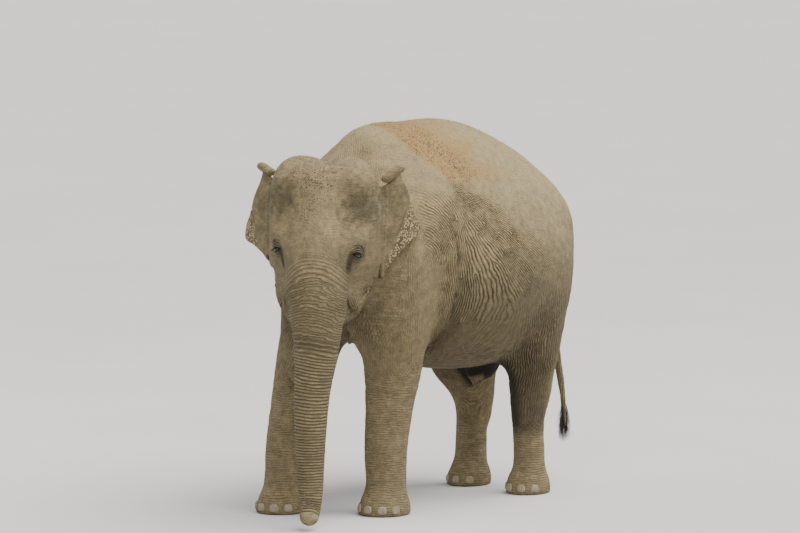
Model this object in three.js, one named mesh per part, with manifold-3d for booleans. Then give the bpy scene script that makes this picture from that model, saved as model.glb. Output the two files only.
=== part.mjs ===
// A standing Asian elephant cow, life size, as a still model.
// Millimetres, +Z up, soles on Z = 0. The elephant faces -Y, its left side is +X.
// Flesh is one smooth field of balls and tapered limbs; each named part is that
// field meshed in its own box and parted from its neighbours by thin flat cuts.
import * as THREE from "three";
import { mergeVertices } from "three/addons/utils/BufferGeometryUtils.js";
import Module from "manifold-3d";

const wasm = await Module();
wasm.setup();

// ---------------------------------------------------------------- driving sizes
const GAP = 0.5; // half of every cut between two parts
const SOCKET = 0.5; // room round a part that sits in a socket
const EAR_SOCKET = 3; // room round an ear, which is a bent sheet
const HEAD_AT = [357, -1342, 1690]; // between the eyes
const HEAD_TURN = 35; // degrees, toward its own left
const HEAD_ROLL = 3; // degrees, left eye lower
const EYE_OUT = 246; // from the head's middle to an eyeball's centre
const EYE_BACK = -12;
const EYE_UP = 3;
const EYE_R = 20.5;
const EYE_SIDES = [8, 6]; // round an eyeball and from pole to pole
const EAR_REACH = 300; // the length that an ear's shares are of
const EAR_ROOT = [352, 250]; // out and back from the eyes' middle
const FORELEG_CUT = 815; // height at which a foreleg is parted from the shoulder
const HINDLEG_CUT = 720;
const FORE_KNEE_CUT = 520;
const HIND_KNEE_CUT = 500;
const FOOT_CUT = 170;
const NECK_CUT = [0, -800, 1700]; // on the sloping cut between chest and neck
const CHEST_CUT = -300; // Y of the cut between chest and belly
const RUMP_CUT = 300; // Y of the cut between belly and rump
const BELLY_MIDDLE = 1600; // height of the middle of the barrel
const HEAD_CUT = 300; // behind the eyes, between head and neck
const CELL = { torso: 150, neck: 112, head: 74, trunk: 66, tip: 52 }; // mesh sizes
const SIDES = 16; // round a leg
const TRUNK_SIDES = 14;
const BELLY_SIDES = 28;
const TAIL_SIDES = 7;
const TAIL_SOCKET = 1; // room round the tail in the rump

// Skin colours by part
const HIDE = { color: 0x857666, roughness: 0.92, metalness: 0 };
const EAR_SKIN = { color: 0x8b7a6c, roughness: 0.9, metalness: 0 };
const NAIL = { color: 0xa3957e, roughness: 0.6, metalness: 0 };
const EYE = { color: 0x1c120c, roughness: 0.08, metalness: 0 };

// ---------------------------------------------------------------- small vectors
const rad = (d) => (d * Math.PI) / 180;
const sub = (a, b) => [a[0] - b[0], a[1] - b[1], a[2] - b[2]];
const dot = (a, b) => a[0] * b[0] + a[1] * b[1] + a[2] * b[2];
const clamp = (x, a, b) => Math.min(b, Math.max(a, x));

// Rows of a turn: yaw about Z, then pitch about X, then roll about Y
function turn(yaw = 0, pitch = 0, roll = 0) {
  const m = new THREE.Matrix4()
    .makeRotationZ(rad(yaw))
    .multiply(new THREE.Matrix4().makeRotationX(rad(pitch)))
    .multiply(new THREE.Matrix4().makeRotationY(rad(roll)));
  return m;
}
function rotated(m, p) {
  const e = m.elements;
  return [
    e[0] * p[0] + e[4] * p[1] + e[8] * p[2],
    e[1] * p[0] + e[5] * p[1] + e[9] * p[2],
    e[2] * p[0] + e[6] * p[1] + e[10] * p[2],
  ];
}
function unrotated(m, p) {
  const e = m.elements;
  return [
    e[0] * p[0] + e[1] * p[1] + e[2] * p[2],
    e[4] * p[0] + e[5] * p[1] + e[6] * p[2],
    e[8] * p[0] + e[9] * p[1] + e[10] * p[2],
  ];
}

// ---------------------------------------------------------------- field shapes
function smoothMin(a, b, k) {
  if (k <= 0) return Math.min(a, b);
  const h = clamp(0.5 + (0.5 * (b - a)) / k, 0, 1);
  return b + (a - b) * h - k * h * (1 - h);
}

// An ellipsoid: centre, radii, and a tilt in degrees
function ball(c, r, { yaw = 0, pitch = 0, roll = 0 } = {}) {
  const m = turn(yaw, pitch, roll);
  const far = Math.max(...r);
  return {
    lo: c.map((v) => v - far),
    hi: c.map((v) => v + far),
    flip: () => ball([-c[0], c[1], c[2]], r, { yaw: -yaw, pitch, roll: -roll }),
    at(p) {
      const q = unrotated(m, sub(p, c));
      const a = Math.hypot(q[0] / r[0], q[1] / r[1], q[2] / r[2]);
      const b = Math.hypot(q[0] / r[0] ** 2, q[1] / r[1] ** 2, q[2] / r[2] ** 2);
      return b > 1e-9 ? (a * (a - 1)) / b : -Math.min(...r);
    },
  };
}

// A smooth path through stations [x, y, z, radius]
function smoothPath(st, n) {
  const mirror = (a, b) => a.map((v, i) => 2 * v - b[i]);
  const last = st.length - 1;
  const P = [mirror(st[0], st[1]), ...st, mirror(st[last], st[last - 1])];
  const out = [];
  for (let i = 1; i < P.length - 2; i++)
    for (let j = 0; j < n; j++) {
      const t = j / n;
      out.push(
        P[i].map((b, k) => {
          const a = P[i - 1][k];
          const c = P[i + 1][k];
          const d = P[i + 2][k];
          const two = 2 * a - 5 * b + 4 * c - d;
          const three = -a + 3 * b - 3 * c + d;
          return 0.5 * (2 * b + (c - a) * t + two * t * t + three * t ** 3);
        }),
      );
    }
  out.push(st[last]);
  return out;
}

// A tapered limb along stations; wide stretches its section along X
function limb(st, { n = 4, wide = 1 } = {}) {
  const path = smoothPath(st, n);
  const far = Math.max(...path.map((s) => s[3])) * Math.max(1, wide);
  return {
    lo: [0, 1, 2].map((k) => Math.min(...path.map((s) => s[k])) - far),
    hi: [0, 1, 2].map((k) => Math.max(...path.map((s) => s[k])) + far),
    flip: () => limb(st.map(([x, y, z, r]) => [-x, y, z, r]), { n, wide }),
    at(p) {
      let best = 1e9;
      for (let i = 0; i + 1 < path.length; i++) {
        const a = path[i];
        const ab = sub(path[i + 1], a);
        const q = sub(p, a);
        const t = clamp(dot(q, ab) / dot(ab, ab), 0, 1);
        const dx = (q[0] - t * ab[0]) / wide;
        const d = Math.hypot(dx, q[1] - t * ab[1], q[2] - t * ab[2]);
        best = Math.min(best, d - (a[3] + t * (path[i + 1][3] - a[3])));
      }
      return best;
    },
  };
}
const both = (shape, k) => [[shape, k], [shape.flip(), k]];

// ---------------------------------------------------------------- the body, [shape, blend]
const BODY = [
  [ball([0, -140, 1700], [560, 840, 640]), 0], // ribs
  [ball([0, 80, 1398], [700, 740, 575]), 250], // belly
  [ball([0, 20, 1850], [380, 660, 510], { pitch: -4 }), 220], // loin
  [ball([0, 470, 1510], [550, 570, 620], { pitch: -10 }), 250], // rump
  ...both(ball([200, 620, 1720], [250, 270, 220]), 150), // hips
  [ball([0, -500, 1880], [270, 360, 500]), 200], // withers
  [ball([0, -740, 1470], [380, 320, 300]), 200], // chest
  ...both(
    limb([
      [140, -360, 2120, 140],
      [280, -480, 1900, 200],
      [340, -620, 1550, 230],
      [330, -660, 1220, 205],
    ]),
    160,
  ), // shoulders
  [
    limb([
      [260, 360, 1740, 220],
      [330, 460, 1450, 250],
      [310, 550, 1160, 210],
      [298, 600, 940, 155],
    ]),
    160,
  ], // left thigh
  [
    limb([
      [-260, 360, 1740, 220],
      [-330, 440, 1450, 250],
      [-300, 520, 1110, 235],
      [-285, 560, 840, 195],
    ]),
    160,
  ], // right thigh
  [
    limb(
      [
        [0, -700, 1760, 420],
        [100, -950, 1760, 385],
        [220, -1100, 1780, 350],
      ],
      { wide: 0.92 },
    ),
    180,
  ], // neck
  [ball([170, -720, 1130], [95, 110, 115]), 50], // left breast
  [
    limb([
      [130, -800, 1110, 22],
      [112, -830, 1070, 13],
    ]),
    20,
  ], // left teat
  [ball([-190, -780, 1150], [90, 100, 110]), 50], // right breast, ahead with its leg
  [
    limb([
      [-155, -850, 1130, 22],
      [-140, -880, 1090, 13],
    ]),
    20,
  ], // right teat
  [ball([0, 470, 830], [75, 150, 120], { pitch: 15 }), 50], // hood between the thighs
  [
    limb([
      [0, 420, 840, 50],
      [0, 385, 760, 34],
      [0, 400, 690, 22],
    ]),
    30,
  ], // the hood's flap
];

// Legs: stations from the top down, then the foot's centre and radii
const LEGS = {
  fore_left: {
    path: [
      [310, -640, 1250, 200],
      [294, -628, 950, 186],
      [276, -638, 720, 153],
      [268, -657, 500, 139],
      [265, -664, 350, 132],
      [268, -665, 210, 127],
      [268, -668, 110, 130],
    ],
    foot: [268, -680, 20],
    size: [155, 168, 125],
  },
  fore_right: {
    path: [
      [-290, -720, 1250, 200],
      [-280, -810, 950, 190],
      [-270, -900, 720, 163],
      [-262, -970, 500, 148],
      [-257, -1010, 350, 138],
      [-252, -1036, 210, 127],
      [-250, -1048, 110, 130],
    ],
    foot: [-250, -1062, 20],
    size: [155, 168, 125],
  },
  hind_left: {
    path: [
      [300, 570, 1050, 180],
      [292, 605, 820, 150],
      [282, 608, 660, 134],
      [274, 598, 500, 109],
      [268, 608, 360, 98],
      [266, 615, 220, 100],
      [264, 618, 110, 112],
    ],
    foot: [264, 608, 20],
    size: [132, 152, 118],
  },
  hind_right: {
    path: [
      [-300, 575, 1050, 200],
      [-292, 600, 840, 195],
      [-284, 640, 700, 166],
      [-278, 666, 560, 130],
      [-272, 663, 460, 115],
      [-268, 640, 360, 102],
      [-265, 630, 220, 102],
      [-264, 622, 110, 112],
    ],
    foot: [-264, 612, 20],
    size: [132, 152, 118],
  },
};
const LEG_BLEND = 100;
const FOOT_BLEND = 70;

// Tail, clear of the body below the rump
const TAIL = [
  [0, 960, 1800, 66],
  [0, 1070, 1660, 56],
  [0, 1120, 1400, 43],
  [0, 1118, 1100, 33],
  [0, 1128, 900, 29],
  [8, 1150, 750, 25],
  [18, 1174, 600, 21],
  [24, 1184, 480, 18],
  [26, 1186, 360, 15],
];

// ---------------------------------------------------------------- the head, in its own frame
const TRUNK = [
  [0, 0, 100, 172],
  [0, -45, -60, 172],
  [20, -90, -220, 162],
  [36, -105, -400, 150],
  [42, -105, -600, 126],
  [30, -100, -820, 104],
  [30, -100, -1050, 92],
  [40, -105, -1270, 81],
  [54, -118, -1450, 70],
  [60, -142, -1550, 61],
  [63, -180, -1602, 54],
];
const HEAD = [
  [ball([0, 210, 250], [350, 300, 310]), 0], // skull
  [ball([-165, 150, 385], [165, 190, 185]), 60], // right dome
  [ball([150, 150, 395], [175, 190, 190]), 60], // left dome
  [ball([0, 30, 200], [150, 150, 340], { pitch: 3 }), 80], // forehead
  [ball([0, 30, 20], [245, 150, 160]), 70], // face between the eyes
  ...both(ball([225, 55, 95], [80, 100, 65], { roll: -20 }), 70), // brows
  ...both(ball([225, 200, -30], [100, 160, 100]), 80), // cheekbones
  ...both(ball([165, 210, -140], [130, 200, 280]), 70), // cheeks
  [ball([0, 130, -315], [225, 220, 185]), 70], // jaw
  ...both(ball([115, 20, -300], [85, 120, 160]), 40), // lip either side of the trunk
  [
    limb([
      [0, 20, -360, 85],
      [0, -40, -430, 50],
      [0, -75, -470, 30],
    ]),
    40,
  ], // lower lip
  [limb(TRUNK, { wide: 1.08 }), 60],
];
const TEMPLES = both(ball([235, -150, 275], [110, 120, 150]), 110); // hollows above the eyes
const HEAD_BLEND = 100;

const HEAD_M = turn(HEAD_TURN, 0, HEAD_ROLL);
const toHead = (p) => unrotated(HEAD_M, sub(p, HEAD_AT));
const fromHead = (p) => rotated(HEAD_M, p).map((v, i) => v + HEAD_AT[i]);

// ---------------------------------------------------------------- the whole field
const REACH = 300;
const near = (s, p) =>
  p.every((v, k) => v > s.lo[k] - REACH && v < s.hi[k] + REACH);
const legShapes = Object.values(LEGS).map((l) => ({
  shin: limb(l.path),
  foot: ball(l.foot, l.size),
}));

function headField(q) {
  let d = 9000;
  for (const [s, k] of HEAD) if (near(s, q)) d = smoothMin(d, s.at(q), k);
  for (const [s, k] of TEMPLES) if (near(s, q)) d = -smoothMin(-d, s.at(q), k);
  return d;
}
function openFlesh(p) {
  let d = 9000;
  for (const [s, k] of BODY) if (near(s, p)) d = smoothMin(d, s.at(p), k);
  for (const l of legShapes)
    if (near(l.shin, p) || near(l.foot, p))
      d = smoothMin(d, smoothMin(l.shin.at(p), l.foot.at(p), FOOT_BLEND), LEG_BLEND);
  const h = headField(toHead(p));
  if (h < 8000) d = smoothMin(d, h, HEAD_BLEND);
  return d;
}
const flesh = (p) => Math.max(openFlesh(p), -p[2]);

// ---------------------------------------------------------------- meshing a field in a box
// One vertex per cell that the surface crosses, one quad per crossed edge.
function meshField(field, lo, hi, cell) {
  const n = [0, 1, 2].map((k) => Math.ceil((hi[k] - lo[k]) / cell) + 3);
  const base = lo.map((v) => v - cell);
  const at = (i, j, k) => (k * n[1] + j) * n[0] + i;
  const f = new Float64Array(n[0] * n[1] * n[2]);
  const point = (i, j, k) => [base[0] + i * cell, base[1] + j * cell, base[2] + k * cell];
  const outside = (p) => Math.max(...p.map((v, k) => Math.max(lo[k] - v, v - hi[k])));
  const value = (p) => Math.max(field(p), outside(p));
  for (let k = 0; k < n[2]; k++)
    for (let j = 0; j < n[1]; j++)
      for (let i = 0; i < n[0]; i++) f[at(i, j, k)] = value(point(i, j, k));
  const vertex = new Map();
  const verts = [];
  const edges = [];
  for (let a = 0; a < 8; a++)
    for (const bit of [1, 2, 4]) if (!(a & bit)) edges.push([a, a | bit]);
  const corner = (a) => [a & 1, (a >> 1) & 1, (a >> 2) & 1];
  for (let k = 0; k + 1 < n[2]; k++)
    for (let j = 0; j + 1 < n[1]; j++)
      for (let i = 0; i + 1 < n[0]; i++) {
        let sum = [0, 0, 0];
        let count = 0;
        for (const [a, b] of edges) {
          const ca = corner(a);
          const cb = corner(b);
          const fa = f[at(i + ca[0], j + ca[1], k + ca[2])];
          const fb = f[at(i + cb[0], j + cb[1], k + cb[2])];
          if (fa < 0 === fb < 0) continue;
          const t = fa / (fa - fb);
          sum = sum.map((v, x) => v + ca[x] + t * (cb[x] - ca[x]));
          count++;
        }
        if (!count) continue;
        vertex.set(at(i, j, k), verts.length);
        const c = [i, j, k];
        verts.push(sum.map((v, x) => base[x] + cell * (c[x] + v / count)));
      }
  const faces = [];
  const step = [1, n[0], n[0] * n[1]];
  for (let k = 1; k + 1 < n[2]; k++)
    for (let j = 1; j + 1 < n[1]; j++)
      for (let i = 1; i + 1 < n[0]; i++)
        for (let x = 0; x < 3; x++) {
          const here = at(i, j, k);
          const s = f[here] < 0;
          if (s === f[here + step[x]] < 0) continue;
          const u = step[(x + 1) % 3];
          const w = step[(x + 2) % 3];
          const q = [here - u - w, here - w, here, here - u].map((e) => vertex.get(e));
          if (!s) q.reverse();
          faces.push(q);
        }
  // settle each vertex on the surface
  const h = 1;
  for (const v of verts)
    for (let round = 0; round < 4; round++) {
      const d = value(v);
      const g = [0, 1, 2].map((k) => {
        const p = [...v];
        p[k] += h;
        return (value(p) - d) / h;
      });
      const gg = dot(g, g);
      if (gg < 0.05 || Math.abs(d) < 0.05) break;
      const move = clamp(d / gg, -0.4 * cell, 0.4 * cell);
      for (let k = 0; k < 3; k++) v[k] -= move * g[k];
    }
  // split each quad along the diagonal that bends least
  const tris = [];
  const length = (a, b) => Math.hypot(...sub(verts[a], verts[b]));
  for (const [a, b, c, d] of faces)
    if (length(a, c) <= length(b, d)) tris.push(a, b, c, a, c, d);
    else tris.push(a, b, d, b, c, d);
  return solid(verts, tris);
}

// A limb's length as level rings round its own middle line, with flat ends
function column(field, rows, sides) {
  const verts = [];
  const tris = [];
  for (const [cx, cy, z] of rows)
    for (let k = 0; k < sides; k++) {
      const a = (2 * Math.PI * k) / sides;
      let r = 20;
      for (let i = 0; i < 60; i++) {
        const d = field([cx + r * Math.cos(a), cy + r * Math.sin(a), z]);
        r -= 0.8 * d;
        if (Math.abs(d) < 0.02) break;
      }
      verts.push([cx + r * Math.cos(a), cy + r * Math.sin(a), z]);
    }
  const last = rows.length - 1;
  for (let i = 0; i < last; i++)
    for (let k = 0; k < sides; k++) {
      const a = i * sides + k;
      const b = i * sides + ((k + 1) % sides);
      tris.push(a, b + sides, b, a, a + sides, b + sides);
    }
  verts.push([...rows[0]], [...rows[last]]);
  const low = verts.length - 1;
  for (let k = 0; k < sides; k++) {
    const q = (k + 1) % sides;
    tris.push(k, q, low - 1, last * sides + q, last * sides + k, low);
  }
  return solid(verts, tris);
}

// A closed triangle list as a solid
function solid(verts, tris) {
  return new wasm.Manifold(
    new wasm.Mesh({
      numProp: 3,
      vertProperties: new Float32Array(verts.flat()),
      triVerts: new Uint32Array(tris),
    }),
  );
}
function solidOf(geometry) {
  geometry.deleteAttribute("normal");
  geometry.deleteAttribute("uv");
  const g = mergeVertices(geometry, 1e-3);
  return new wasm.Manifold(
    new wasm.Mesh({
      numProp: 3,
      vertProperties: new Float32Array(g.attributes.position.array),
      triVerts: new Uint32Array(g.index.array),
    }),
  );
}

// ---------------------------------------------------------------- cutting
const BIG = 6000;
// Keeps the side of a plane that its normal points to, the plane moved in by a gap
function keep(part, point, normal, gap = GAP) {
  const n = new THREE.Vector3(...normal).normalize();
  const box = new THREE.BoxGeometry(BIG, BIG, BIG);
  box.translate(0, 0, BIG / 2 + gap);
  box.applyQuaternion(
    new THREE.Quaternion().setFromUnitVectors(new THREE.Vector3(0, 0, 1), n),
  );
  box.translate(...point);
  return part.intersect(solidOf(box));
}
// The one piece of a cut part that lies nearest a point
function pieceNear(part, p) {
  const gapTo = (m) => {
    const b = m.boundingBox();
    return Math.hypot(...p.map((v, k) => Math.max(b.min[k] - v, v - b.max[k], 0)));
  };
  const pieces = part.decompose().filter((m) => m.volume() > 1000);
  return pieces.sort((a, b) => gapTo(a) - gapTo(b) || b.volume() - a.volume())[0];
}

// ---------------------------------------------------------------- shapes laid out directly
// A tube along stations, closed with a ring drawn in at each end
function tube(st, sides, grow = 0, n = 2) {
  const path = smoothPath(st, n);
  const verts = [];
  const tris = [];
  const last = path.length - 1;
  path.forEach((s, i) => {
    const a = path[Math.max(0, i - 1)];
    const b = path[Math.min(last, i + 1)];
    const t = new THREE.Vector3(...sub(b, a)).normalize();
    const u = new THREE.Vector3(1, 0, 0).cross(t).normalize();
    const w = t.clone().cross(u);
    for (let k = 0; k < sides; k++) {
      const c = Math.cos((2 * Math.PI * k) / sides) * (s[3] + grow);
      const d = Math.sin((2 * Math.PI * k) / sides) * (s[3] + grow);
      verts.push([0, 1, 2].map((x) => s[x] + c * u.getComponent(x) + d * w.getComponent(x)));
    }
  });
  for (let i = 0; i < last; i++)
    for (let k = 0; k < sides; k++) {
      const a = i * sides + k;
      const b = i * sides + ((k + 1) % sides);
      tris.push(a, b, b + sides, a, b + sides, a + sides);
    }
  for (const [i, out] of [[0, -1], [last, 1]]) {
    const a = path[i];
    const t = new THREE.Vector3(...sub(path[Math.min(last, i + 1)], path[Math.max(0, i - 1)]));
    t.normalize().multiplyScalar(out * (0.5 * a[3] + grow));
    const tip = verts.length;
    verts.push([a[0] + t.x, a[1] + t.y, a[2] + t.z]);
    for (let k = 0; k < sides; k++) {
      const p = i * sides + k;
      const q = i * sides + ((k + 1) % sides);
      tris.push(...(out > 0 ? [p, q, tip] : [q, p, tip]));
    }
  }
  return solid(verts, tris);
}

// Each ear: its splay in degrees off straight back, how far its middle bows forward,
// its edge from the upper root round the point to the lower root as
// [share of the reach, height above the eye], and the ends of its rolled top as [out, up].
// The right ear's top is folded further back.
const EARS = {
  ear_left: {
    side: 1,
    splay: 44,
    bow: 50,
    edge: [
      [-0.2, 400],
      [-0.08, 480],
      [0.03, 508],
      [0.18, 545],
      [0.31, 540],
      [0.34, 490],
      [0.39, 423],
      [0.5, 361],
      [0.56, 305],
      [0.67, 240],
      [0.93, 146],
      [0.82, 105],
      [0.56, 60],
      [0.3, -20],
      [0.11, -105],
      [0.03, -165],
      [-0.2, -140],
    ],
    roll: [
      [-4, 455],
      [68, 520],
    ],
  },
  ear_right: {
    side: -1,
    splay: 40,
    bow: 45,
    edge: [
      [-0.2, 400],
      [-0.08, 472],
      [0.03, 490],
      [0.18, 502],
      [0.28, 485],
      [0.27, 430],
      [0.3, 365],
      [0.42, 290],
      [0.52, 205],
      [0.68, 125],
      [0.93, 40],
      [0.8, 5],
      [0.42, -20],
      [0.16, -60],
      [0.0, -105],
      [-0.1, -130],
      [-0.2, -140],
    ],
    roll: [
      [-4, 447],
      [56, 474],
    ],
  },
};
const EAR_IN = -60; // how far inside the head an ear starts
const EAR_IN_TOP = 330; // heights of the buried inner edge
const EAR_IN_LOW = -90;
const EAR_COLUMNS = 5; // points from the inner edge to the outer one
const EAR_CROWD = 0.8; // below 1 the points crowd toward the outer edge
const EAR_THICK = 17; // half thickness at the root
const EAR_THIN = 7; // half thickness from this far out
const EAR_THIN_AT = 200;
const ROLL_R = 28; // radius of the rolled top edge
const ROLL_AHEAD = 19; // how far the roll stands in front of the sheet
const FLUTE = 8; // height of the waves along the lower edge
const FLUTE_TOP = 180; // the waves fade out up to this height, over a span
const FLUTE_SPAN = 300;
const FLUTE_LENGTH = 42;
const EAR_MIDDLE = [80, 170]; // a socket grows from here
function earPlace({ side, splay, bow }, u, v, w) {
  const a = rad(splay);
  const share = clamp(u / EAR_REACH, -0.1, 1);
  const low = clamp((FLUTE_TOP - v) / FLUTE_SPAN, 0, 1);
  const out = w + bow * Math.sin(Math.PI * share) - FLUTE * low * Math.sin(u / FLUTE_LENGTH);
  return [
    side * (EAR_ROOT[0] + u * Math.sin(a) + out * Math.cos(a)),
    EAR_ROOT[1] + u * Math.cos(a) - out * Math.sin(a),
    v,
  ];
}
// How far the roll stands out at a place on the ear
function rollHeight([[u0, v0], [u1, v1]], u, v) {
  const du = u1 - u0;
  const dv = v1 - v0;
  const t = clamp(((u - u0) * du + (v - v0) * dv) / (du * du + dv * dv), 0, 1);
  const off = Math.hypot(u - u0 - t * du, v - v0 - t * dv) / ROLL_R;
  return (ROLL_AHEAD + ROLL_R) * clamp(1.3 - off, 0, 1);
}
// An ear as a slab of rows from its inner edge to its outer one
function ear(e, grow) {
  const rows = e.edge.length - 1;
  const columns = EAR_COLUMNS;
  const slab = [[], []];
  for (let face = 0; face < 2; face++)
    for (let i = 0; i <= rows; i++)
      for (let j = 0; j <= columns; j++) {
        const t = (j / columns) ** EAR_CROWD;
        const v0 = EAR_IN_TOP + ((EAR_IN_LOW - EAR_IN_TOP) * i) / rows;
        const u = EAR_IN + (e.edge[i][0] * EAR_REACH - EAR_IN) * t;
        const v = v0 + (e.edge[i][1] - v0) * t;
        const sheet = EAR_THICK + (EAR_THIN - EAR_THICK) * clamp(u / EAR_THIN_AT, 0, 1);
        const w = face ? -sheet - grow : Math.max(sheet, rollHeight(e.roll, u, v)) + grow;
        const more = 1 + grow / EAR_REACH;
        const uMore = EAR_MIDDLE[0] + (u - EAR_MIDDLE[0]) * more;
        const vMore = EAR_MIDDLE[1] + (v - EAR_MIDDLE[1]) * more;
        slab[face].push(earPlace(e, uMore, vMore, w));
      }
  const wide = columns + 1;
  const verts = [...slab[0], ...slab[1]];
  const under = slab[0].length;
  const tris = [];
  const quad = (a, b, c, d) =>
    e.side > 0 ? tris.push(a, b, c, a, c, d) : tris.push(a, c, b, a, d, c);
  for (let i = 0; i < rows; i++)
    for (let j = 0; j < columns; j++) {
      const a = i * wide + j;
      quad(a, a + wide, a + wide + 1, a + 1);
      quad(under + a, under + a + 1, under + a + wide + 1, under + a + wide);
    }
  const rim = [];
  for (let j = 0; j < columns; j++) rim.push(j);
  for (let i = 0; i < rows; i++) rim.push(i * wide + columns);
  for (let j = columns; j > 0; j--) rim.push(rows * wide + j);
  for (let i = rows; i > 0; i--) rim.push(i * wide);
  rim.forEach((a, n) => {
    const b = rim[(n + 1) % rim.length];
    quad(a, b, under + b, under + a);
  });
  return solid(verts, tris);
}
// A small round body: centre, radii, tilt
function bead(c, r, sides, m = new THREE.Matrix4()) {
  const g = new THREE.SphereGeometry(1, ...sides);
  g.scale(...r);
  g.applyMatrix4(m);
  g.translate(...c);
  return solidOf(g);
}
const grown = (r, by) => r.map((v) => v + by);

// ---------------------------------------------------------------- making the parts
const parts = {}; // name: { solid, skin, at }
const headFlesh = (q) => flesh(fromHead(q));
const chain = (part, ...cuts) => cuts.reduce((m, [p, n, gap]) => keep(m, p, n, gap), part);
const UP = [0, 0, 1];
const DOWN = [0, 0, -1];
const BACK = [0, 1, 0];
const AHEAD = [0, -1, 0];

// Ears, eyes and tail first, so that their sockets can be cut
const eyes = { eye_left: 1, eye_right: -1 };
const eyeBead = (side, by) =>
  bead([side * EYE_OUT, EYE_BACK, EYE_UP], grown([EYE_R, EYE_R, EYE_R], by), EYE_SIDES);
const carve = (part, tools, p) =>
  pieceNear(tools.reduce((m, t) => m.subtract(t), part), p);
const HEAD_TRS = new THREE.Matrix4().setPosition(...HEAD_AT).multiply(HEAD_M);
const toWorld = (m) => m.transform(HEAD_TRS.elements);

// Torso in three lengths, open below only where the legs leave it
const intoNeck = [0, -1, 0.55];
const intoChest = [0, 1, -0.55];
const headBack = fromHead([0, HEAD_CUT, 0]);
const headAxis = rotated(HEAD_M, BACK);
const torso = meshField(flesh, [-800, -1220, 610], [800, 1250, 2460], CELL.torso);
const earTools = Object.values(EARS).map((e) => ear(e, EAR_SOCKET));
const tailTool = tube(TAIL, TAIL_SIDES, TAIL_SOCKET);
parts.chest = {
  solid: carve(
    chain(
      torso,
      [NECK_CUT, intoChest],
      [headBack, headAxis],
      [[0, CHEST_CUT, 0], AHEAD],
      [[0, 0, FORELEG_CUT], UP],
    ),
    earTools.map(toWorld),
    [0, -550, 1500],
  ),
};
// the belly is laid out as rings round the body's length: its ring frame's Z is the body's Y
const lying = new THREE.Matrix4().makeRotationX(-Math.PI / 2);
const ring = (y) => [0, -BELLY_MIDDLE, y];
parts.belly = {
  solid: column(
    (q) => openFlesh([q[0], q[2], -q[1]]),
    [CHEST_CUT + GAP, -150, 0, 150, RUMP_CUT - GAP].map(ring).reverse(),
    BELLY_SIDES,
  ).transform(lying.elements),
};
parts.rump = {
  solid: carve(
    chain(torso, [[0, RUMP_CUT, 0], BACK], [[0, 0, HINDLEG_CUT], UP]),
    [tailTool],
    [0, 600, 1500],
  ),
};

// Neck, between the chest and the back of the head
const neckMesh = meshField(flesh, [-700, -1500, 1000], [800, -300, 2460], CELL.neck);
parts.neck = {
  solid: carve(
    chain(neckMesh, [NECK_CUT, intoNeck], [headBack, headAxis]),
    earTools.map(toWorld),
    [150, -950, 1760],
  ),
};

// Head, jaw and trunk meet along one line across the mouth
const MOUTH = [0, 20, -400];
const trunkPlane = [0, 220, 270]; // points up and back from the trunk's root
const jawPlane = [0, -110, 280]; // points up from the jaw
const opposite = (n) => n.map((v) => -v);
const headMesh = meshField(headFlesh, [-430, -330, -600], [430, 420, 640], CELL.head);
const headTools = [...earTools, eyeBead(1, SOCKET), eyeBead(-1, SOCKET)];
parts.head = {
  solid: carve(
    chain(headMesh, [[0, HEAD_CUT, 0], AHEAD], [MOUTH, trunkPlane], [MOUTH, jawPlane]),
    headTools,
    [0, 150, 200],
  ),
  head: true,
};
parts.jaw = {
  solid: pieceNear(
    chain(headMesh, [[0, HEAD_CUT, 0], AHEAD], [MOUTH, BACK], [MOUTH, opposite(jawPlane)]),
    [0, 120, -420],
  ),
  head: true,
};
const TRUNK_CUTS = [-640, -1060, -1400]; // heights below the eyes
const trunkMesh = (top, low, cell) =>
  meshField(headFlesh, [-260, -360, low - 40], [300, 160, top + 40], cell);
const trunkTop = chain(
  trunkMesh(-100, TRUNK_CUTS[0], CELL.trunk),
  [MOUTH, AHEAD],
  [MOUTH, opposite(trunkPlane)],
  [[0, 0, TRUNK_CUTS[0]], UP],
);
parts.trunk_base = { solid: pieceNear(trunkTop, [0, -100, -450]), head: true };
const trunkPath = smoothPath(TRUNK, 6);
const crossing = (path, z) => {
  const i = clamp(path.findIndex((m) => m[2] < z), 1, path.length - 1);
  const [p, q] = [path[i - 1], path[i]];
  const t = (p[2] - z) / (p[2] - q[2]);
  return [p[0] + t * (q[0] - p[0]), p[1] + t * (q[1] - p[1]), z];
};
const levels = (path, high, low, count) =>
  Array.from({ length: count + 1 }, (_, i) =>
    crossing(path, high - GAP + ((low - high + 2 * GAP) * i) / count),
  );
const headOpen = (q) => openFlesh(fromHead(q));
["trunk_middle", "trunk_lower"].forEach((name, i) => {
  const rows = levels(trunkPath, TRUNK_CUTS[i], TRUNK_CUTS[i + 1], 4);
  parts[name] = { solid: column(headOpen, rows, TRUNK_SIDES), head: true };
});
parts.trunk_tip = {
  solid: pieceNear(
    chain(trunkMesh(TRUNK_CUTS[2], -1680, CELL.tip), [[0, 0, TRUNK_CUTS[2]], DOWN]),
    [55, -130, -1500],
  ),
  head: true,
};
for (const [name, e] of Object.entries(EARS))
  parts[name] = { solid: ear(e, 0), skin: EAR_SKIN, head: true };
for (const [name, side] of Object.entries(eyes))
  parts[name] = { solid: eyeBead(side, 0), skin: EYE, head: true };

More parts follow.
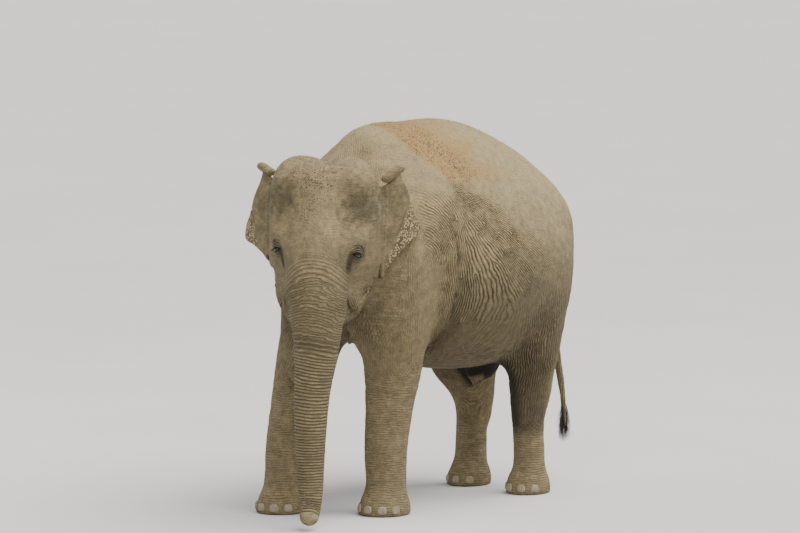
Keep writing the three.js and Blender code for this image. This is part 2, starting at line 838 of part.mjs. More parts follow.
// Legs: upper, lower, foot with its nails let in round the front
const NAIL_UP = 44; // height of a nail's middle above the ground
const NAIL_SUNK = 5; // how far a nail's middle lies inside the foot
const NAIL_SIDES = [6, 3]; // round a nail and from end to end
const NAILS = { fore: [-66, -34, 0, 34, 66], hind: [-54, -18, 18, 54] };
const NAIL_SIZE = { fore: [29, 13, 25], hind: [26, 12, 23] };
const FOOT_YAW = { fore_left: 6, fore_right: -6, hind_left: 8, hind_right: -8 };
function onFoot(foot, angle) {
  const a = rad(angle);
  const dir = [Math.sin(a), -Math.cos(a), 0];
  const place = (reach) => [foot[0] + dir[0] * reach, foot[1] + dir[1] * reach, NAIL_UP];
  let inside = 0;
  let outside = 300;
  while (outside - inside > 0.01) {
    const mid = 0.5 * (inside + outside);
    if (flesh(place(mid)) < 0) inside = mid;
    else outside = mid;
  }
  return place(inside - NAIL_SUNK);
}
for (const [name, leg] of Object.entries(LEGS)) {
  const [place, side] = name.split("_");
  const fore = place === "fore";
  const top = fore ? FORELEG_CUT : HINDLEG_CUT;
  const knee = fore ? FORE_KNEE_CUT : HIND_KNEE_CUT;
  const middle = smoothPath(leg.path, 6);
  const f = leg.foot;
  const tag = `${place}leg_${side}`;
  parts[`${tag}_upper`] = { solid: column(openFlesh, levels(middle, top, knee, 4), SIDES) };
  parts[`${tag}_lower`] = { solid: column(openFlesh, levels(middle, knee, FOOT_CUT, 4), SIDES) };
  const rings = [FOOT_CUT - GAP, 130, 90].map((z) => crossing(middle, z));
  for (const z of [50, 16, 0]) rings.push([f[0], f[1], z]);
  const sole = column(openFlesh, rings, SIDES);
  const nails = NAILS[place].map((angle) => {
    const yaw = angle + FOOT_YAW[name];
    return { at: onFoot(f, yaw), m: turn(yaw) };
  });
  const size = NAIL_SIZE[place];
  const nailTools = nails.map((n) => bead(n.at, grown(size, SOCKET), NAIL_SIDES, n.m));
  parts[`${place}foot_${side}`] = {
    solid: carve(sole, nailTools, [f[0], f[1], 60]),
  };
  nails.forEach((n, i) => {
    parts[`${place}nail_${side}_${i + 1}`] = { solid: bead(n.at, size, NAIL_SIDES, n.m), skin: NAIL };
  });
}

// Tail in three lengths
const TAIL_CUTS = [1450, 800];
const tail = tube(TAIL, TAIL_SIDES);
const [TAIL_HIGH, TAIL_LOW] = TAIL_CUTS.map((z) => [0, 0, z]);
parts.tail_base = { solid: chain(tail, [TAIL_HIGH, UP]) };
parts.tail_middle = { solid: chain(tail, [TAIL_HIGH, DOWN], [TAIL_LOW, UP]) };
parts.tail_tip = { solid: chain(tail, [TAIL_LOW, DOWN]) };

// ---------------------------------------------------------------- putting them together
const elephant = new THREE.Group();
elephant.name = "elephant";
const body = new THREE.Group();
body.name = "body";
const head = new THREE.Group();
head.name = "head_group";
head.position.set(...HEAD_AT);
head.quaternion.setFromRotationMatrix(HEAD_M);
body.add(head);
elephant.add(body);

const whole = { lo: [1e9, 1e9], hi: [-1e9, -1e9] };
for (const [name, { solid: made, skin = HIDE, head: inHead }] of Object.entries(parts)) {
  const mesh = made.getMesh();
  const box = made.boundingBox();
  const pivot = [0, 1, 2].map((k) => Math.round(0.5 * (box.min[k] + box.max[k])));
  const xyz = new Float32Array(mesh.numVert * 3);
  for (let i = 0; i < mesh.numVert; i++)
    for (let k = 0; k < 3; k++)
      xyz[3 * i + k] = mesh.vertProperties[i * mesh.numProp + k] - pivot[k];
  const geometry = new THREE.BufferGeometry();
  geometry.setAttribute("position", new THREE.BufferAttribute(xyz, 3));
  geometry.setIndex(new THREE.BufferAttribute(new Uint32Array(mesh.triVerts), 1));
  geometry.computeVertexNormals();
  const piece = new THREE.Mesh(geometry, new THREE.MeshStandardMaterial(skin));
  piece.name = name;
  piece.position.set(...pivot);
  (inHead ? head : body).add(piece);
  const wide = (inHead ? toWorld(made) : made).boundingBox();
  for (let k = 0; k < 2; k++) {
    whole.lo[k] = Math.min(whole.lo[k], wide.min[k]);
    whole.hi[k] = Math.max(whole.hi[k], wide.max[k]);
  }
}
// the middle of the whole box stands on the origin
body.position.set(
  -0.5 * (whole.lo[0] + whole.hi[0]),
  -0.5 * (whole.lo[1] + whole.hi[1]),
  0,
);
export default elephant;
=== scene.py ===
# A standing Asian elephant cow, life size, as a still model: one skin over the whole
# body, with eyes, toenails, tail hair, lashes and scattered bristles of their own.
import math
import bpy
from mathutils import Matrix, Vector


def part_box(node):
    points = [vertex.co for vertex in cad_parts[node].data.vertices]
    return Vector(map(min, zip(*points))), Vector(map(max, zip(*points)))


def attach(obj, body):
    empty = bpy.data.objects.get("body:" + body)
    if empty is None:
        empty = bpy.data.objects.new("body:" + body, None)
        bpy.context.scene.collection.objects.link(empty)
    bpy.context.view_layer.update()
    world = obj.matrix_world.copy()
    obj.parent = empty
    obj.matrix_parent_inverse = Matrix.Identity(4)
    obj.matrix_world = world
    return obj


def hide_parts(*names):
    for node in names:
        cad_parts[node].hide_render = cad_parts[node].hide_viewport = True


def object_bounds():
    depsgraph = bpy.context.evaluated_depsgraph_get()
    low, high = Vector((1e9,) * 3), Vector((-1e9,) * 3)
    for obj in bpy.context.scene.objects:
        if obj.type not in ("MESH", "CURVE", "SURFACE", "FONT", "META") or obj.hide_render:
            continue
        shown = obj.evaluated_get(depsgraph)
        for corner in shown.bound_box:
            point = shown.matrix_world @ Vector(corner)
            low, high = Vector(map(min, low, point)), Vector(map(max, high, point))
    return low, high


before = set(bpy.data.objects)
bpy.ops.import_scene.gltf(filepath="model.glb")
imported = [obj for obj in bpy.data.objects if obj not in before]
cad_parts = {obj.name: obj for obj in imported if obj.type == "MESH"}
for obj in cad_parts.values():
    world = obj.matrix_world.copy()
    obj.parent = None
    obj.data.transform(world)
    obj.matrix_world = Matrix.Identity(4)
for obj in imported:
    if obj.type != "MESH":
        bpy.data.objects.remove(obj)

from concurrent.futures import ThreadPoolExecutor

import bmesh
import bpy
import numpy as np
from mathutils import Matrix, Vector

cad_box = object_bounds()

# ---------------------------------------------------------------- driving sizes, metres
# Body frame: the elephant faces -Y, its left side is +X, soles on Z = 0.
HEAD_AT = np.array([0.357, -1.342, 1.690])  # between the eyes
HEAD_TURN = 35  # degrees, toward its own left
HEAD_ROLL = 3  # degrees, left eye lower
EYE_AT = np.array([0.246, -0.012, 0.003])  # left eyeball's centre in the head's frame
EYE_R = 0.0205
LID = 0.0045  # thickness of an eyelid
CELL = 0.007  # size of the skin's mesh
BLOCK = 4  # cells along a block of the skin's grid
FAR = 9.0  # further than any distance here
REACH = 0.30  # a shape further away than this has no pull on the skin
COAT = 0.0015  # how far the skin lies inside the solids
SEED = 7


# ---------------------------------------------------------------- turning and blending
def turn(yaw=0.0, pitch=0.0, roll=0.0):
    """Rows of the turn: yaw about Z, then pitch about X, then roll about Y."""
    m = Matrix.Rotation(math.radians(yaw), 3, "Z")
    m = m @ Matrix.Rotation(math.radians(pitch), 3, "X")
    return np.array(m @ Matrix.Rotation(math.radians(roll), 3, "Y"))


HEAD_M = turn(HEAD_TURN, 0, HEAD_ROLL)


def to_head(p):
    return (p - HEAD_AT) @ HEAD_M


def from_head(q):
    return q @ HEAD_M.T + HEAD_AT


def smooth_min(a, b, k):
    """The lower of two distances, with the corner between them filled over a width k."""
    h = np.clip(0.5 + 0.5 * (b - a) / k, 0, 1)
    return b + (a - b) * h - k * h * (1 - h)


def smooth_max(a, b, k):
    return -smooth_min(-a, -b, k)


def ramp(x, low, high):
    """0 below low, 1 above high, and smooth between them."""
    t = np.clip((x - low) / (high - low), 0, 1)
    return t * t * (3 - 2 * t)


def fall(x, low, high):
    """1 below low, 0 above high, and smooth between them."""
    return 1 - ramp(x, low, high)


def hill(x, middle, half):
    """1 at the middle, falling smoothly to 0 at a half width on either side."""
    return fall(np.abs(x - middle), 0, half)


def blend(a, b, share):
    """a where the share is 0, b where it is 1."""
    return a + (b - a) * share


# ---------------------------------------------------------------- shapes of flesh
class Ball:
    """An ellipsoid: centre, radii, and a tilt in degrees."""

    def __init__(self, centre, radii, yaw=0, pitch=0, roll=0):
        self.centre = np.array(centre)
        self.radii = np.array(radii)
        self.tilt = (yaw, pitch, roll)
        self.m = turn(yaw, pitch, roll)
        self.lo = self.centre - self.radii.max()
        self.hi = self.centre + self.radii.max()

    def mirrored(self):
        yaw, pitch, roll = self.tilt
        return Ball(self.centre * [-1, 1, 1], self.radii, -yaw, pitch, -roll)

    def at(self, p):
        q = (p - self.centre) @ self.m
        a = np.linalg.norm(q / self.radii, axis=1)
        b = np.linalg.norm(q / self.radii**2, axis=1)
        return a * (a - 1) / np.maximum(b, 1e-6)


def smooth_path(stations, steps):
    """A smooth path through stations, each a row of any width."""
    s = np.array(stations, float)
    s = np.vstack([2 * s[0] - s[1], s, 2 * s[-1] - s[-2]])
    t = (np.arange(steps) / steps)[:, None]
    rows = []
    for a, b, c, d in zip(s[:-3], s[1:-2], s[2:-1], s[3:]):
        two = 2 * a - 5 * b + 4 * c - d
        three = -a + 3 * b - 3 * c + d
        rows.append(0.5 * (2 * b + (c - a) * t + two * t**2 + three * t**3))
    return np.vstack([*rows, s[-2]])


class Limb:
    """A tapered limb through stations x, y, z, radius; wide stretches it along X."""

    def __init__(self, stations, steps=4, wide=1.0):
        self.stations = np.array(stations, float)
        self.steps = steps
        self.wide = wide
        self.path = smooth_path(stations, steps)
        far = self.path[:, 3].max() * max(1, wide)
        self.lo = self.path[:, :3].min(0) - far
        self.hi = self.path[:, :3].max(0) + far

    def mirrored(self):
        return Limb(self.stations * [-1, 1, 1, 1], self.steps, self.wide)

    def at(self, p):
        best = np.full(len(p), FAR)
        for a, b in self.lengths_near(p):
            ab = b[:3] - a[:3]
            q = p - a[:3]
            t = np.clip(q @ ab / (ab @ ab), 0, 1)
            q -= t[:, None] * ab
            d = np.sqrt((q[:, 0] / self.wide) ** 2 + q[:, 1] ** 2 + q[:, 2] ** 2)
            np.minimum(best, d - (a[3] + t * (b[3] - a[3])), out=best)
        return best

    def lengths_near(self, p):
        """The lengths of the path that can be nearest to any of the points."""
        a = self.path[:-1]
        b = self.path[1:]
        ab = b[:, :3] - a[:, :3]
        lo = p.min(0)
        hi = p.max(0)
        q = (lo + hi) / 2 - a[:, :3]
        t = np.clip((q * ab).sum(1) / (ab * ab).sum(1), 0, 1)
        d = np.linalg.norm(q - t[:, None] * ab, axis=1) - a[:, 3] - t * (b[:, 3] - a[:, 3])
        chosen = d < d.min() + 1.2 * np.linalg.norm(hi - lo)
        return zip(a[chosen], b[chosen])

    def along(self, p):
        """How far along the path each point lies, in metres."""
        best = np.full(len(p), FAR)
        place = np.zeros(len(p))
        run = 0.0
        for a, b in zip(self.path[:-1, :3], self.path[1:, :3]):
            ab = b - a
            length = np.linalg.norm(ab)
            t = np.clip((p - a) @ ab / length**2, 0, 1)
            d = np.linalg.norm(p - a - t[:, None] * ab, axis=1)
            closer = d < best
            best[closer] = d[closer]
            place[closer] = run + t[closer] * length
            run += length
        return place


def both(shape, k):
    return [(shape, k), (shape.mirrored(), k)]


# ---------------------------------------------------------------- the body, (shape, blend)
BODY = [
    (Ball([0, -0.14, 1.70], [0.56, 0.84, 0.64]), 0.001),  # ribs
    (Ball([0, 0.08, 1.398], [0.70, 0.74, 0.575]), 0.25),  # belly
    (Ball([0, 0.02, 1.85], [0.38, 0.66, 0.51], pitch=-4), 0.22),  # loin
    (Ball([0, 0.47, 1.51], [0.55, 0.57, 0.62], pitch=-10), 0.25),  # rump
    *both(Ball([0.20, 0.62, 1.72], [0.25, 0.27, 0.22]), 0.15),  # hips
    (Ball([0, -0.50, 1.88], [0.27, 0.36, 0.50]), 0.20),  # withers
    (Ball([0, -0.74, 1.47], [0.38, 0.32, 0.30]), 0.20),  # chest
    *both(
        Limb([
            [0.14, -0.36, 2.12, 0.14],
            [0.28, -0.48, 1.90, 0.20],
            [0.34, -0.62, 1.55, 0.23],
            [0.33, -0.66, 1.22, 0.205],
        ]),
        0.16,
    ),  # shoulders
    (
        Limb([
            [0.26, 0.36, 1.74, 0.22],
            [0.33, 0.46, 1.45, 0.25],
            [0.31, 0.55, 1.16, 0.21],
            [0.298, 0.60, 0.94, 0.155],
        ]),
        0.16,
    ),  # left thigh
    (
        Limb([
            [-0.26, 0.36, 1.74, 0.22],
            [-0.33, 0.44, 1.45, 0.25],
            [-0.30, 0.52, 1.11, 0.235],
            [-0.285, 0.56, 0.84, 0.195],
        ]),
        0.16,
    ),  # right thigh
    (
        Limb(
            [[0, -0.70, 1.76, 0.42], [0.10, -0.95, 1.76, 0.385], [0.22, -1.10, 1.78, 0.35]],
            wide=0.92,
        ),
        0.18,
    ),  # neck
    (Ball([0.17, -0.72, 1.13], [0.095, 0.11, 0.115]), 0.05),  # left breast
    (Limb([[0.13, -0.80, 1.11, 0.022], [0.112, -0.83, 1.07, 0.013]]), 0.02),  # left teat
    (Ball([-0.19, -0.78, 1.15], [0.09, 0.10, 0.11]), 0.05),  # right breast, ahead with its leg
    (Limb([[-0.155, -0.85, 1.13, 0.022], [-0.14, -0.88, 1.09, 0.013]]), 0.02),  # right teat
    (Ball([0, 0.47, 0.83], [0.075, 0.15, 0.12], pitch=15), 0.05),  # hood between the thighs
    (Limb([[0, 0.42, 0.84, 0.05], [0, 0.385, 0.76, 0.034], [0, 0.40, 0.69, 0.020]]), 0.03),  # its flap
]

FORE_FOOT = [0.155, 0.168, 0.125]
HIND_FOOT = [0.132, 0.152, 0.118]
LEGS = {
    "fore_left": (
        Limb([
            [0.310, -0.640, 1.25, 0.200],
            [0.294, -0.628, 0.95, 0.186],
            [0.276, -0.638, 0.72, 0.153],
            [0.268, -0.657, 0.50, 0.139],
            [0.265, -0.664, 0.35, 0.132],
            [0.268, -0.665, 0.21, 0.127],
            [0.268, -0.668, 0.11, 0.130],
        ]),
        Ball([0.268, -0.680, 0.02], FORE_FOOT),
    ),
    "fore_right": (
        Limb([
            [-0.290, -0.720, 1.25, 0.200],
            [-0.280, -0.810, 0.95, 0.190],
            [-0.270, -0.900, 0.72, 0.163],
            [-0.262, -0.970, 0.50, 0.148],
            [-0.257, -1.010, 0.35, 0.138],
            [-0.252, -1.036, 0.21, 0.127],
            [-0.250, -1.048, 0.11, 0.130],
        ]),
        Ball([-0.250, -1.062, 0.02], FORE_FOOT),
    ),
    "hind_left": (
        Limb([
            [0.300, 0.570, 1.05, 0.180],
            [0.292, 0.605, 0.82, 0.150],
            [0.282, 0.608, 0.66, 0.134],
            [0.274, 0.598, 0.50, 0.109],
            [0.268, 0.608, 0.36, 0.098],
            [0.266, 0.615, 0.22, 0.100],
            [0.264, 0.618, 0.11, 0.112],
        ]),
        Ball([0.264, 0.608, 0.02], HIND_FOOT),
    ),
    "hind_right": (
        Limb([
            [-0.300, 0.575, 1.05, 0.200],
            [-0.292, 0.600, 0.84, 0.195],
            [-0.284, 0.640, 0.70, 0.166],
            [-0.278, 0.666, 0.56, 0.130],
            [-0.272, 0.663, 0.46, 0.115],
            [-0.268, 0.640, 0.36, 0.102],
            [-0.265, 0.630, 0.22, 0.102],
            [-0.264, 0.622, 0.11, 0.112],
        ]),
        Ball([-0.264, 0.612, 0.02], HIND_FOOT),
    ),
}
LEG_BLEND = 0.10
FOOT_BLEND = 0.07
SOLE_BLEND = 0.012
TAIL_BLEND = 0.04

TAIL = Limb([
    [0, 0.960, 1.80, 0.066],
    [0, 1.070, 1.66, 0.056],
    [0, 1.120, 1.40, 0.043],
    [0, 1.118, 1.10, 0.033],
    [0, 1.128, 0.90, 0.029],
    [0.008, 1.150, 0.75, 0.025],
    [0.018, 1.174, 0.60, 0.021],
    [0.024, 1.184, 0.48, 0.018],
    [0.026, 1.186, 0.36, 0.015],
])

# ---------------------------------------------------------------- the head, in its own frame
TRUNK = Limb(
    [
        [0, 0, 0.10, 0.172],
        [0, -0.045, -0.06, 0.172],
        [0.020, -0.090, -0.22, 0.162],
        [0.036, -0.105, -0.40, 0.150],
        [0.042, -0.105, -0.60, 0.126],
        [0.030, -0.100, -0.82, 0.104],
        [0.030, -0.100, -1.05, 0.092],
        [0.040, -0.105, -1.27, 0.081],
        [0.054, -0.118, -1.45, 0.070],
        [0.060, -0.142, -1.55, 0.061],
        [0.063, -0.180, -1.602, 0.054],
    ],
    wide=1.08,
)
HEAD = [
    (Ball([0, 0.21, 0.25], [0.35, 0.30, 0.31]), 0.001),  # skull
    (Ball([-0.165, 0.15, 0.385], [0.165, 0.19, 0.185]), 0.06),  # right dome
    (Ball([0.15, 0.15, 0.395], [0.175, 0.19, 0.19]), 0.06),  # left dome
    (Ball([0, 0.03, 0.20], [0.15, 0.15, 0.34], pitch=3), 0.08),  # forehead
    (Ball([0, 0.03, 0.02], [0.245, 0.15, 0.16]), 0.07),  # face between the eyes
    *both(Ball([0.225, 0.055, 0.095], [0.080, 0.10, 0.065], roll=-20), 0.07),  # brows
    *both(Ball([0.225, 0.20, -0.03], [0.10, 0.16, 0.10]), 0.08),  # cheekbones
    *both(Ball([0.165, 0.21, -0.14], [0.13, 0.20, 0.28]), 0.07),  # cheeks
    (Ball([0, 0.13, -0.315], [0.225, 0.22, 0.185]), 0.07),  # jaw
    *both(Ball([0.115, 0.02, -0.30], [0.085, 0.12, 0.16]), 0.04),  # lip beside the trunk
    (
        Limb([[0, 0.02, -0.36, 0.085], [0, -0.04, -0.43, 0.05], [0, -0.075, -0.47, 0.03]]),
        0.04,
    ),  # lower lip
    (TRUNK, 0.06),
    *both(Ball(EYE_AT, [EYE_R + LID] * 3), 0.022),  # lids over the eyeballs
]
TEMPLES = both(Ball([0.235, -0.150, 0.275], [0.11, 0.12, 0.15]), 0.11)  # hollows above the eyes
HEAD_BLEND = 0.10

# Each ear's edge from its upper root round the point to its lower root: shares of the
# reach, and heights above the eye. The right ear's top is folded further back.
EAR_EDGES = {
    1: (
        [-0.2, 0.05, 0.24, 0.31, 0.39, 0.50, 0.56, 0.67, 0.93, 0.82, 0.556, 0.30, 0.11, 0.03, -0.2],
        [
            *[0.360, 0.430, 0.500, 0.478, 0.423, 0.361, 0.305, 0.240],
            *[0.146, 0.105, 0.060, -0.020, -0.105, -0.165, -0.140],
        ],
    ),
    -1: (
        [-0.2, 0.05, 0.18, 0.23, 0.29, 0.42, 0.52, 0.68, 0.93, 0.80, 0.42, 0.16, 0.0, -0.1, -0.2],
        [
            *[0.360, 0.425, 0.470, 0.430, 0.365, 0.290, 0.205, 0.125],
            *[0.040, 0.005, -0.020, -0.060, -0.105, -0.130, -0.140],
        ],
    ),
}
EAR_REACH = 0.300
EAR_ROOT = [0.352, 0.250]  # out and back from the eyes' middle
EAR_THICK = 0.017  # half thickness at the root
EAR_THIN = 0.0072  # half thickness at the edge
EARS = {1: (44, 0.050), -1: (40, 0.045)}  # side: splay in degrees, bow off the straight line
EAR_ROLLS = {1: [(-0.004, 0.455), (0.068, 0.520)], -1: [(-0.004, 0.447), (0.056, 0.474)]}
ROLL_R = 0.0280  # radius of the rolled top edge
ROLL_AHEAD = 0.019  # how far the roll stands in front of the sheet


# ---------------------------------------------------------------- the whole field
def in_reach(shape, lo, hi):
    return bool(np.all(shape.hi + REACH > lo) and np.all(shape.lo - REACH < hi))


def ear_place(q, side):
    """Head-frame points as u out along the ear, v up it and w off the sheet to the front."""
    splay, bow = EARS[side]
    a = math.radians(splay)
    x = side * q[:, 0] - EAR_ROOT[0]
    y = q[:, 1] - EAR_ROOT[1]
    u = x * math.sin(a) + y * math.cos(a)
    share = np.clip(u / EAR_REACH, -0.1, 1)
    v = q[:, 2]
    flute = 0.008 * np.clip((0.18 - v) / 0.3, 0, 1) * np.sin(u / 0.042)
    w = x * math.cos(a) - y * math.sin(a) - bow * np.sin(np.pi * share) + flute
    return u, v, w


def outline_distance(points, edge):
    """Distance from a closed outline, less than 0 inside it."""
    best = np.full(len(points), FAR)
    crossings = np.zeros(len(points), int)
    for a, b in zip(edge, np.roll(edge, -1, axis=0)):
        ab = b - a
        q = points - a
        t = np.clip(q @ ab / (ab @ ab), 0, 1)
        best = np.minimum(best, np.linalg.norm(q - t[:, None] * ab, axis=1))
        spans = (a[1] > points[:, 1]) != (b[1] > points[:, 1])
        rise = b[1] - a[1] if b[1] != a[1] else 1e-9
        crossings += spans & (q[:, 0] < ab[0] * (points[:, 1] - a[1]) / rise)
    return np.where(crossings % 2 == 1, -best, best)


EAR_OUTLINES = {
    side: smooth_path(np.column_stack(edge), 4) * [EAR_REACH, 1] for side, edge in EAR_EDGES.items()
}


def ear_rim(u, v, side):
    """Distance from the ear's edge, less than 0 on the ear."""
    return outline_distance(np.column_stack([u, v]), EAR_OUTLINES[side])


def roll_distance(u, v, w, side):
    """Distance from the thick roll that the ear's top edge makes."""
    a, b = np.array(EAR_ROLLS[side])
    q = np.column_stack([u, v]) - a
    t = np.clip(q @ (b - a) / ((b - a) @ (b - a)), 0, 1)
    off = np.linalg.norm(q - t[:, None] * (b - a), axis=1)
    return np.hypot(off, w - ROLL_AHEAD) - ROLL_R


def ear_field(q, side):
    u, v, w = ear_place(q, side)
    half = EAR_THICK + (EAR_THIN - EAR_THICK) * np.clip(u / 0.20, 0, 1)
    rim = ear_rim(u, v, side) + half
    sheet = np.hypot(np.maximum(rim, 0), w) - half
    return 0.92 * smooth_min(sheet, roll_distance(u, v, w, side), 0.006)


def joined(shapes, p, d):
    """The distances d with those of nearby shapes blended in."""
    lo = p.min(0)
    hi = p.max(0)
    for shape, k in shapes:
        if in_reach(shape, lo, hi):
            d = smooth_min(d, shape.at(p), k)
    return d


def head_field(q):
    d = joined(HEAD, q, np.full(len(q), FAR))
    for shape, k in TEMPLES:
        if in_reach(shape, q.min(0), q.max(0)):
            d = smooth_max(d, -shape.at(q), k)
    return d


HEAD_LO = np.array([-0.75, -0.45, -1.75])
HEAD_HI = np.array([0.75, 0.75, 0.70])


def near_ear(q, side):
    return (side * q[:, 0]).max() > 0.15 and q[:, 1].max() > 0.1 and q[:, 2].max() > -0.35


def flesh(p):
    """Distance of each point from the skin, less than 0 inside. Points come in small groups."""
    d = joined(BODY, p, np.full(len(p), FAR))
    for shin, foot in LEGS.values():
        if in_reach(shin, p.min(0), p.max(0)):
            leg = smooth_min(shin.at(p), foot.at(p), FOOT_BLEND)
            d = smooth_min(d, leg, LEG_BLEND)
    d = joined([(TAIL, TAIL_BLEND)], p, d)
    q = to_head(p)
    if np.all(q.min(0) < HEAD_HI) and np.all(q.max(0) > HEAD_LO):
        d = smooth_min(d, head_field(q), HEAD_BLEND)
        for side in EARS:
            if near_ear(q, side):
                root = hill(ear_place(q, side)[0], 0, 0.10)
                d = smooth_min(d, ear_field(q, side), 0.004 + 0.03 * root)
    return smooth_max(d + COAT, -p[:, 2], SOLE_BLEND)


def flesh_in_groups(p, size=0.15):
    """flesh() of many points, taken in groups that lie close together."""
    cell = np.floor(p / size).astype(np.int64)
    key = (cell[:, 0] * 1000 + cell[:, 1]) * 1000 + cell[:, 2]
    order = np.argsort(key, kind="stable")
    starts = np.flatnonzero(np.diff(key[order], prepend=key[order[0]] - 1))
    groups = np.split(order, starts[1:])
    out = np.empty(len(p))
    with ThreadPoolExecutor(4) as pool:
        for group, found in zip(groups, pool.map(lambda g: flesh(p[g]), groups)):
            out[group] = found
    return out


def settle(p, rounds=2, step=0.0008):
    """Moves points along the field's slope on to the skin."""
    for _ in range(rounds):
        d = flesh_in_groups(p)
        g = np.empty_like(p)
        for axis in range(3):
            q = p.copy()
            q[:, axis] += step
            g[:, axis] = (flesh_in_groups(q) - d) / step
        move = np.clip(d / np.maximum((g * g).sum(1), 0.1), -0.4 * CELL, 0.4 * CELL)
        p = p - move[:, None] * g
    return p


# ---------------------------------------------------------------- meshing the field
GRID_LO = np.array([-0.76, -1.72, -0.03])
GRID_HI = np.array([0.76, 1.27, 2.45])


def spread(blocks):
    """One value per block laid out over the block's cells."""
    for axis in range(3):
        blocks = np.repeat(blocks, BLOCK, axis)
    return np.pad(blocks, (0, 1), mode="edge")


def sample_band(cell):
    """The field on a regular grid, worked out only in blocks that the skin may cross."""
    count = np.ceil((GRID_HI - GRID_LO) / (cell * BLOCK)).astype(int)
    middles = GRID_LO + (np.argwhere(np.ones(count, bool)) + 0.5) * BLOCK * cell
    far = flesh_in_groups(middles, 0.3).reshape(count)
    close = spread(np.abs(far) < 0.75 * math.sqrt(3) * BLOCK * cell)
    for axis in range(3):
        close |= np.roll(close, 1, axis)
    field = spread(np.where(far < 0, -1, 1).astype(np.float32))
    cells = np.argwhere(close)
    field[close] = flesh_in_groups(GRID_LO + cells * cell)
    return field


def surface_net(f, lo, cell):
    """One point per cell that the surface crosses, one quad per crossed grid edge."""
    s = f < 0
    nx, ny, nz = f.shape
    full = np.ones((nx - 1, ny - 1, nz - 1), bool)
    none = np.ones((nx - 1, ny - 1, nz - 1), bool)
    corners = [(a, b, c) for a in (0, 1) for b in (0, 1) for c in (0, 1)]
    for a, b, c in corners:
        part = s[a : nx - 1 + a, b : ny - 1 + b, c : nz - 1 + c]
        full &= part
        none &= ~part
    active = ~(full | none)
    ids = np.argwhere(active)
    index = np.full(active.shape, -1, np.int32)
    index[active] = np.arange(len(ids))
    total = np.zeros((len(ids), 3))
    count = np.zeros(len(ids))
    for n, p in enumerate(corners):
        for q in corners[n + 1 :]:
            if sum(abs(x - y) for x, y in zip(p, q)) != 1:
                continue
            fp = f[ids[:, 0] + p[0], ids[:, 1] + p[1], ids[:, 2] + p[2]].astype(float)
            fq = f[ids[:, 0] + q[0], ids[:, 1] + q[1], ids[:, 2] + q[2]].astype(float)
            crossed = (fp < 0) != (fq < 0)
            t = fp[crossed] / (fp[crossed] - fq[crossed])
            total[crossed] += np.array(p) + t[:, None] * (np.array(q) - np.array(p))
            count[crossed] += 1
    points = lo + cell * (ids + total / count[:, None])
    quads = [crossed_quads(s, index, axis) for axis in range(3)]
    return points, np.concatenate(quads)


def crossed_quads(s, index, axis):
    """Quads round the grid edges along one axis whose two ends lie on different sides."""
    u = (axis + 1) % 3
    w = (axis + 2) % 3
    near = [slice(None)] * 3
    near[axis] = slice(0, -1)
    far = [slice(None)] * 3
    far[axis] = slice(1, None)
    a = s[tuple(near)]
    edge = np.argwhere(a != s[tuple(far)])
    inner = np.ones(len(edge), bool)
    for k in (u, w):
        inner &= (edge[:, k] > 0) & (edge[:, k] < s.shape[k] - 1)
    edge = edge[inner]
    ring = []
    for du, dw in ((-1, -1), (0, -1), (0, 0), (-1, 0)):
        k = edge.copy()
        k[:, u] += du
        k[:, w] += dw
        ring.append(index[k[:, 0], k[:, 1], k[:, 2]])
    quads = np.column_stack(ring)
    outward = a[edge[:, 0], edge[:, 1], edge[:, 2]]
    quads[~outward] = quads[~outward][:, ::-1]
    return quads


def neighbour_mean(points, quads):
    """The mean of the points that share an edge with each point."""
    a = quads.ravel()
    b = np.roll(quads, -1, axis=1).ravel()
    ends = np.concatenate([a, b])
    others = np.concatenate([b, a])
    count = np.bincount(ends, minlength=len(points))[:, None]
    total = [np.bincount(ends, points[others, k], len(points)) for k in range(3)]
    return np.column_stack(total) / count


def face_normals(points, quads):
    """Normals at the points, from the faces round them."""
    a, b, c, d = (points[quads[:, k]] for k in range(4))
    n = np.cross(c - a, d - b)
    total = np.zeros_like(points)
    for k in range(3):
        for corner in range(4):
            total[:, k] += np.bincount(quads[:, corner], n[:, k], len(points))
    return total / np.maximum(np.linalg.norm(total, axis=1), 1e-12)[:, None]


def even_out(points, quads, rounds=2):
    """Slides points along the skin so that the faces are of more equal size."""
    for _ in range(rounds):
        n = face_normals(points, quads)
        move = neighbour_mean(points, quads) - points
        move -= (move * n).sum(1)[:, None] * n
        points = points + 0.5 * move
    return points


# ---------------------------------------------------------------- noise
rng = np.random.default_rng(SEED)
TABLE = 4096  # slopes that the noise picks from
SHUFFLE = rng.permutation(TABLE)
SLOPES = rng.normal(size=(TABLE, 3))
SLOPES /= np.linalg.norm(SLOPES, axis=1)[:, None]


def noise(p, seed=0):
    """Smooth noise from about -1 to 1, with about one swing per unit."""
    i = np.floor(p).astype(np.int64)
    f = p - i
    w = f * f * f * (f * (f * 6 - 15) + 10)
    total = np.zeros(len(p))
    for a in (0, 1):
        for b in (0, 1):
            for c in (0, 1):
                h = SHUFFLE[(i[:, 0] + a + 17 * seed) % TABLE]
                h = SHUFFLE[(h + i[:, 1] + b) % TABLE]
                h = SHUFFLE[(h + i[:, 2] + c) % TABLE]
                g = SLOPES[h]
                dot = (g * (f - [a, b, c])).sum(1)
                wx = w[:, 0] if a else 1 - w[:, 0]
                wy = w[:, 1] if b else 1 - w[:, 1]
                wz = w[:, 2] if c else 1 - w[:, 2]
                total += dot * wx * wy * wz
    return 1.6 * total


# ---------------------------------------------------------------- creases of the skin
FAN = (-0.46, 2.15)  # Y and Z that the flank's creases fan out from
APART = 0.0128  # least distance between the flank's creases
FORK = (0.25, 0.75)  # part of each step over which creases fork


